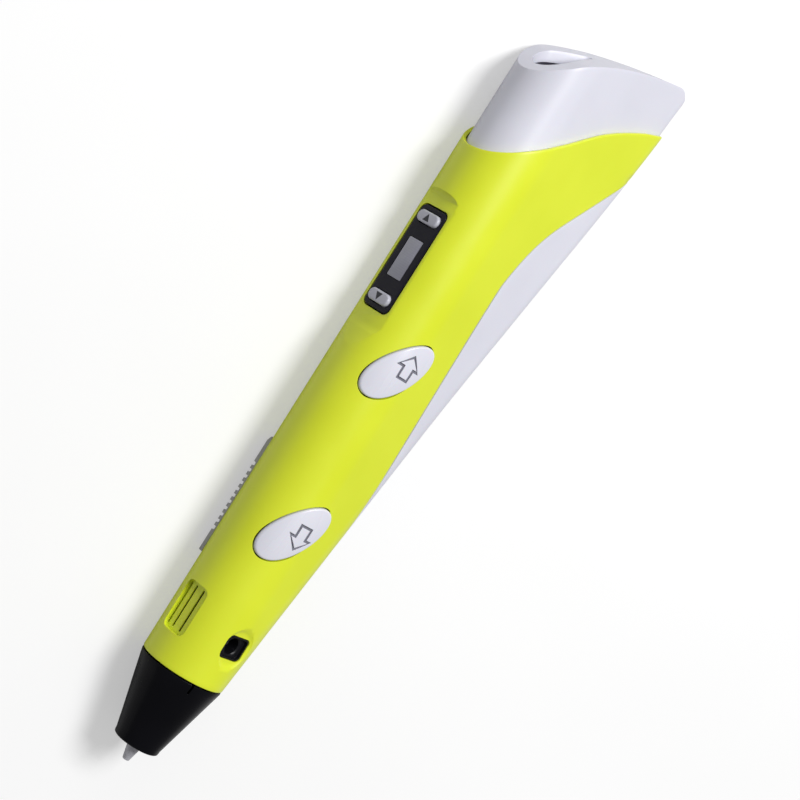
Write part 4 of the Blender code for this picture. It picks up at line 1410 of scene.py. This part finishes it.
@dataclass
class DisplayPanel:
    """The black bezel, its window and the two temperature keys."""

    recess: DisplayRecess = field(default_factory=DisplayRecess)
    proud: float = 0.15
    thick: float = 2.0
    window: Point = (9.2, 4.6)
    key_offset: float = 9.4
    key_size: Point = (2.6, 6.6)
    key_proud: float = 0.8
    triangle: tuple[Point, ...] = ((0.88, 0.0), (-0.80, 1.0), (-0.80, -1.0))

    def build_bezel(self) -> None:
        """The bezel with its window and key holes."""
        plate = slab(*self.recess.panel_size, self.recess.panel_corner, self.proud - self.thick, self.proud, steps=8)
        round_edges(plate, 0.22, 60.0, 3, above(self.proud - 0.01))
        window = (side + 0.2 for side in self.window)
        holes = [slab(*window, 0.35, self.proud - 1.1, 4.0, steps=4)]
        for side in (-1, 1):
            outline = rounded_rectangle(self.key_size[0] + 0.4, self.key_size[1] + 0.4, self.key_size[0] / 2, 8)
            holes.append(prism([(x + side * self.key_offset, y) for x, y in outline], -4.0, 4.0))
        plate = moved(carve(plate, holes), self.recess.frame())
        finish_piece("bezel_plate", plate, Finish.BEZEL, "case", ["display_panel"])

    def build_window(self) -> None:
        """The window, with a small chamfer round it."""
        glass = slab(*self.window, 0.3, self.proud - 0.8, self.proud - 0.02, steps=4)
        round_edges(glass, 0.12, 60.0, 2, above(self.proud - 0.1))
        finish_piece("window_glass", moved(glass, self.recess.frame()), Finish.WINDOW, "case",
                     ["display_window"])

    def build_key(self, name: str, side: int) -> None:
        """Builds a key: a pill with a rounded edge and a printed triangle.

        Args:
            name: The start of its pieces' names and of its body's.
            side: 1 for the tail's side of the window and -1 for the nose's.
        """
        body = f"{name}_button"
        place = self.recess.frame() @ Matrix.Translation((side * self.key_offset, 0.0, 0.0))
        low = min(c.z for c in node_corners(body, place))
        top = self.proud + self.key_proud
        pill = slab(*self.key_size, self.key_size[0] / 2 - 0.02, low, top, steps=10)
        round_edges(pill, 0.38, 60.0, 4, above(top - 0.01))
        finish_piece(f"{name}_key", moved(pill, place), Finish.KEY, body, [body])
        outline = turned_outline(self.triangle, 0 if side > 0 else 180)
        mark = prism(outline, top - 0.02, top + 0.015, place)
        finish_piece(f"{name}_triangle", mark, Finish.MARK, body)

    def build(self) -> None:
        """The whole display group."""
        self.build_bezel()
        self.build_window()
        self.build_key("temp_down", -1)
        self.build_key("temp_up", 1)


def node_corners(node: str, place: Matrix) -> list[Vector]:
    """The vertices of a CAD node in a local frame of the pen, in millimetres."""
    to_local = (PEN_TO_ROW @ place).inverted()
    return [to_local @ v.co for v in frame["nodes"][node].data.vertices]


# --- Nose -------------------------------------------------------------------------------------------------------


@dataclass
class HotNose:
    """The black nose cone and the ceramic nozzle in it."""

    end: float = 4.0
    joint: float = 22.3
    notch_x: float = 20.6 + 0.8
    notch_phi: float = 71.0
    groove_x: float = 12.5
    groove_phi: Point = (-38.0, 142.0)
    groove_tilt: float = math.radians(-14.5)

    def build_cone(self) -> None:
        """The cone, with a rounded lip, a notch at the joint and two shallow grooves."""
        lip = [(self.end + 0.45 * (1 - math.sin(a)), 4.55 + 0.75 * math.cos(a) * 0.9)
               for a in (math.pi / 2 * (1 - i / 6) for i in range(7))]
        outside = [(5.2 + (self.joint - 0.35 - 5.2) * i / 14, 5.3 + (9.5 - 5.3) * i / 14) for i in range(15)]
        profile = [(self.end, 3.0), *lip, *outside, (self.joint - 0.12, 9.47), (self.joint, 9.3),
                   (self.joint, 8.2), (20.0, 7.3), (7.0, 4.2), (7.0, 3.0)]
        cone = turned(profile, 120)
        cutters = [slab(2.6, 0.5, 0.2, 6.0, 12.0, radial_frame(self.notch_x, self.notch_phi), 3)]
        for phi in self.groove_phi:
            tilt = radial_frame(self.groove_x, phi) @ Matrix.Rotation(self.groove_tilt, 4, "Y")
            cutters.append(slab(7.4, 1.2, 0.55, 6.45, 12.0, tilt, 8))
        finish_piece("nose_shell", carve(cone, cutters), Finish.BLACK, "case", ["nose_cone"])

    def build_nozzle(self) -> None:
        """The nozzle: a drawn-out tip with a soft end and a fine collar."""
        profile = [(0.0, 0.25), (0.0, 0.62), (0.04, 0.70), (0.12, 0.78), (4.1, 1.73), (4.5, 1.78), (4.85, 1.86),
                   (4.9, 1.95), (4.9, 2.3), (5.0, 2.4), (13.0, 2.4), (13.0, 1.0), (1.6, 1.0), (0.9, 0.25)]
        finish_piece("nozzle_tip", turned(profile, 72), Finish.CERAMIC, "case", ["nozzle"])

    def build(self) -> None:
        """The whole nose."""
        self.build_cone()
        self.build_nozzle()


# --- The rest of the frame, and the table -----------------------------------------------------------------------


def dress_frame() -> None:
    """Gives every CAD node that stays its detailed finish, by its slot; the filament funnel gets a grey finish as
    painted shade inside its opening.
    """
    slots = {m["slot"] for m in frame["record"]["materials"]}
    for name, obj in sorted(frame["nodes"].items()):
        for entry in obj.material_slots:
            slot = entry.material.name.split(".")[0] if entry.material else ""
            finish = SLOT_FINISH.get(slot if slot in slots else "", Finish.FRAME)
            # Painted shade: the white funnel gets the grey finish so that its inside looks shaded.
            if name == "filament_funnel":
                finish = Finish.SLIDER
            entry.material = finish.material()
        log.info("%s keeps its shape", name)


@dataclass(frozen=True)
class SoftLight:
    """A square soft light, placed in metres to the camera's right of the pen, up and towards the camera."""

    name: str
    across: float
    rise: float
    back: float
    size: float
    watts: float

    def build(self, target: Vector, axes: Iterable[Vector]) -> None:
        """Places the light and turns it to the pen.

        Args:
            target: What it points at.
            axes: The camera's right, up and backward directions.
        """
        right, up, outward = axes
        where = target + right * self.across + up * self.rise + outward * self.back
        data = bpy.data.lights.new(self.name, "AREA")
        data.shape = "SQUARE"
        data.size = self.size
        data.energy = self.watts
        lamp = bpy.data.objects.new(self.name, data)
        lamp.location = where
        lamp.rotation_euler = (target - where).to_track_quat("-Z", "Y").to_euler()
        bpy.context.scene.collection.objects.link(lamp)


@dataclass
class Studio:
    """The table, the lights and the camera."""

    turn: float = 0.80525637
    tilt: float = 0.02996436
    roll: float = 0.5627094
    distance: float = 440.237
    shift: Point = (8.10494, -3.03871)
    focal: float = 2128.3576
    target_x: float = 92.0
    frame_width: float = 800.0
    sensor: float = 36.0
    keel_y: float = -8.0
    table_size: float = 3.0
    daylight: float = 0.24
    lights: tuple[SoftLight, ...] = (SoftLight("key_light", 0.76, 0.10, 0.72, 0.42, 9.6),
                                     SoftLight("fill_light", 0.3, 0.9, 0.6, 0.8, 1.1),
                                     SoftLight("rim_light", -0.8, 0.2, -0.08, 0.25, 1.0))

    def axes(self) -> tuple[Vector, Vector, Vector]:
        """Works out the camera's directions.

        Returns:
            Right, up and backward, in the pen's axes.
        """
        y, z, x = Vector((0, 1, 0)), Vector((0, 0, 1)), Vector((1, 0, 0))
        outward = math.cos(self.turn) * y + math.sin(self.turn) * z
        side = -math.sin(self.turn) * y + math.cos(self.turn) * z
        back = math.cos(self.tilt) * outward + math.sin(self.tilt) * x
        rise = math.cos(self.tilt) * x - math.sin(self.tilt) * outward
        right = math.cos(self.roll) * side + math.sin(self.roll) * rise
        up = -math.sin(self.roll) * side + math.cos(self.roll) * rise
        return right, up, back

    def build_camera(self) -> None:
        """The camera, at the angle the pen is shown from."""
        right, up, back = self.axes()
        centre = Vector((self.target_x, 0.0, 0.0)) + back * self.distance + right * self.shift[0] + up * self.shift[1]
        turn = PEN_TO_ROW.to_3x3().normalized()
        pose = Matrix((turn @ right, turn @ up, turn @ back)).transposed().to_4x4()
        data = bpy.data.cameras.new("view")
        data.sensor_width = self.sensor
        data.lens = self.focal * self.sensor / self.frame_width
        data.clip_start = 0.01
        data.clip_end = 20.0
        camera = bpy.data.objects.new("view", data)
        camera.matrix_world = Matrix.Translation(PEN_TO_ROW @ centre) @ pose
        bpy.context.scene.collection.objects.link(camera)
        bpy.context.scene.camera = camera

    def build_table(self) -> None:
        """The pale table top under the pen."""
        bm = bmesh.new()
        bmesh.ops.create_grid(bm, x_segments=8, y_segments=8, size=self.table_size)
        bmesh.ops.translate(bm, vec=(0.0, 0.0, -0.0002), verts=bm.verts)
        table = to_object("table_top", bm)
        table.data.materials.append(Finish.TABLE.material())

    def build(self) -> None:
        """The whole studio."""
        self.build_camera()
        self.build_table()
        turn = PEN_TO_ROW.to_3x3().normalized()
        for light in self.lights:
            light.build(PEN_TO_ROW @ Vector((self.target_x, self.keel_y, 0.0)), (turn @ axis for axis in self.axes()))
        world = bpy.data.worlds.new("daylight")
        world.use_nodes = True
        background = world.node_tree.nodes["Background"]
        background.inputs["Color"].default_value = (1.0, 1.0, 1.0, 1.0)
        background.inputs["Strength"].default_value = self.daylight
        bpy.context.scene.world = world
        bpy.context.scene.view_settings.view_transform = "Standard"


def main() -> None:
    """Builds the pen, sub-assembly by sub-assembly, and then the studio."""
    logging.basicConfig(level=logging.INFO, format="%(message)s")
    Studio().build()
    dress_frame()
    covers = Covers()
    covers.build_front()
    covers.build_tail()
    covers.build_belly()
    for button in OVALS:
        button.build()
    SLIDER.build()
    SOCKET.build()
    DisplayPanel().build()
    HotNose().build()


if __name__ == "__main__":
    main()
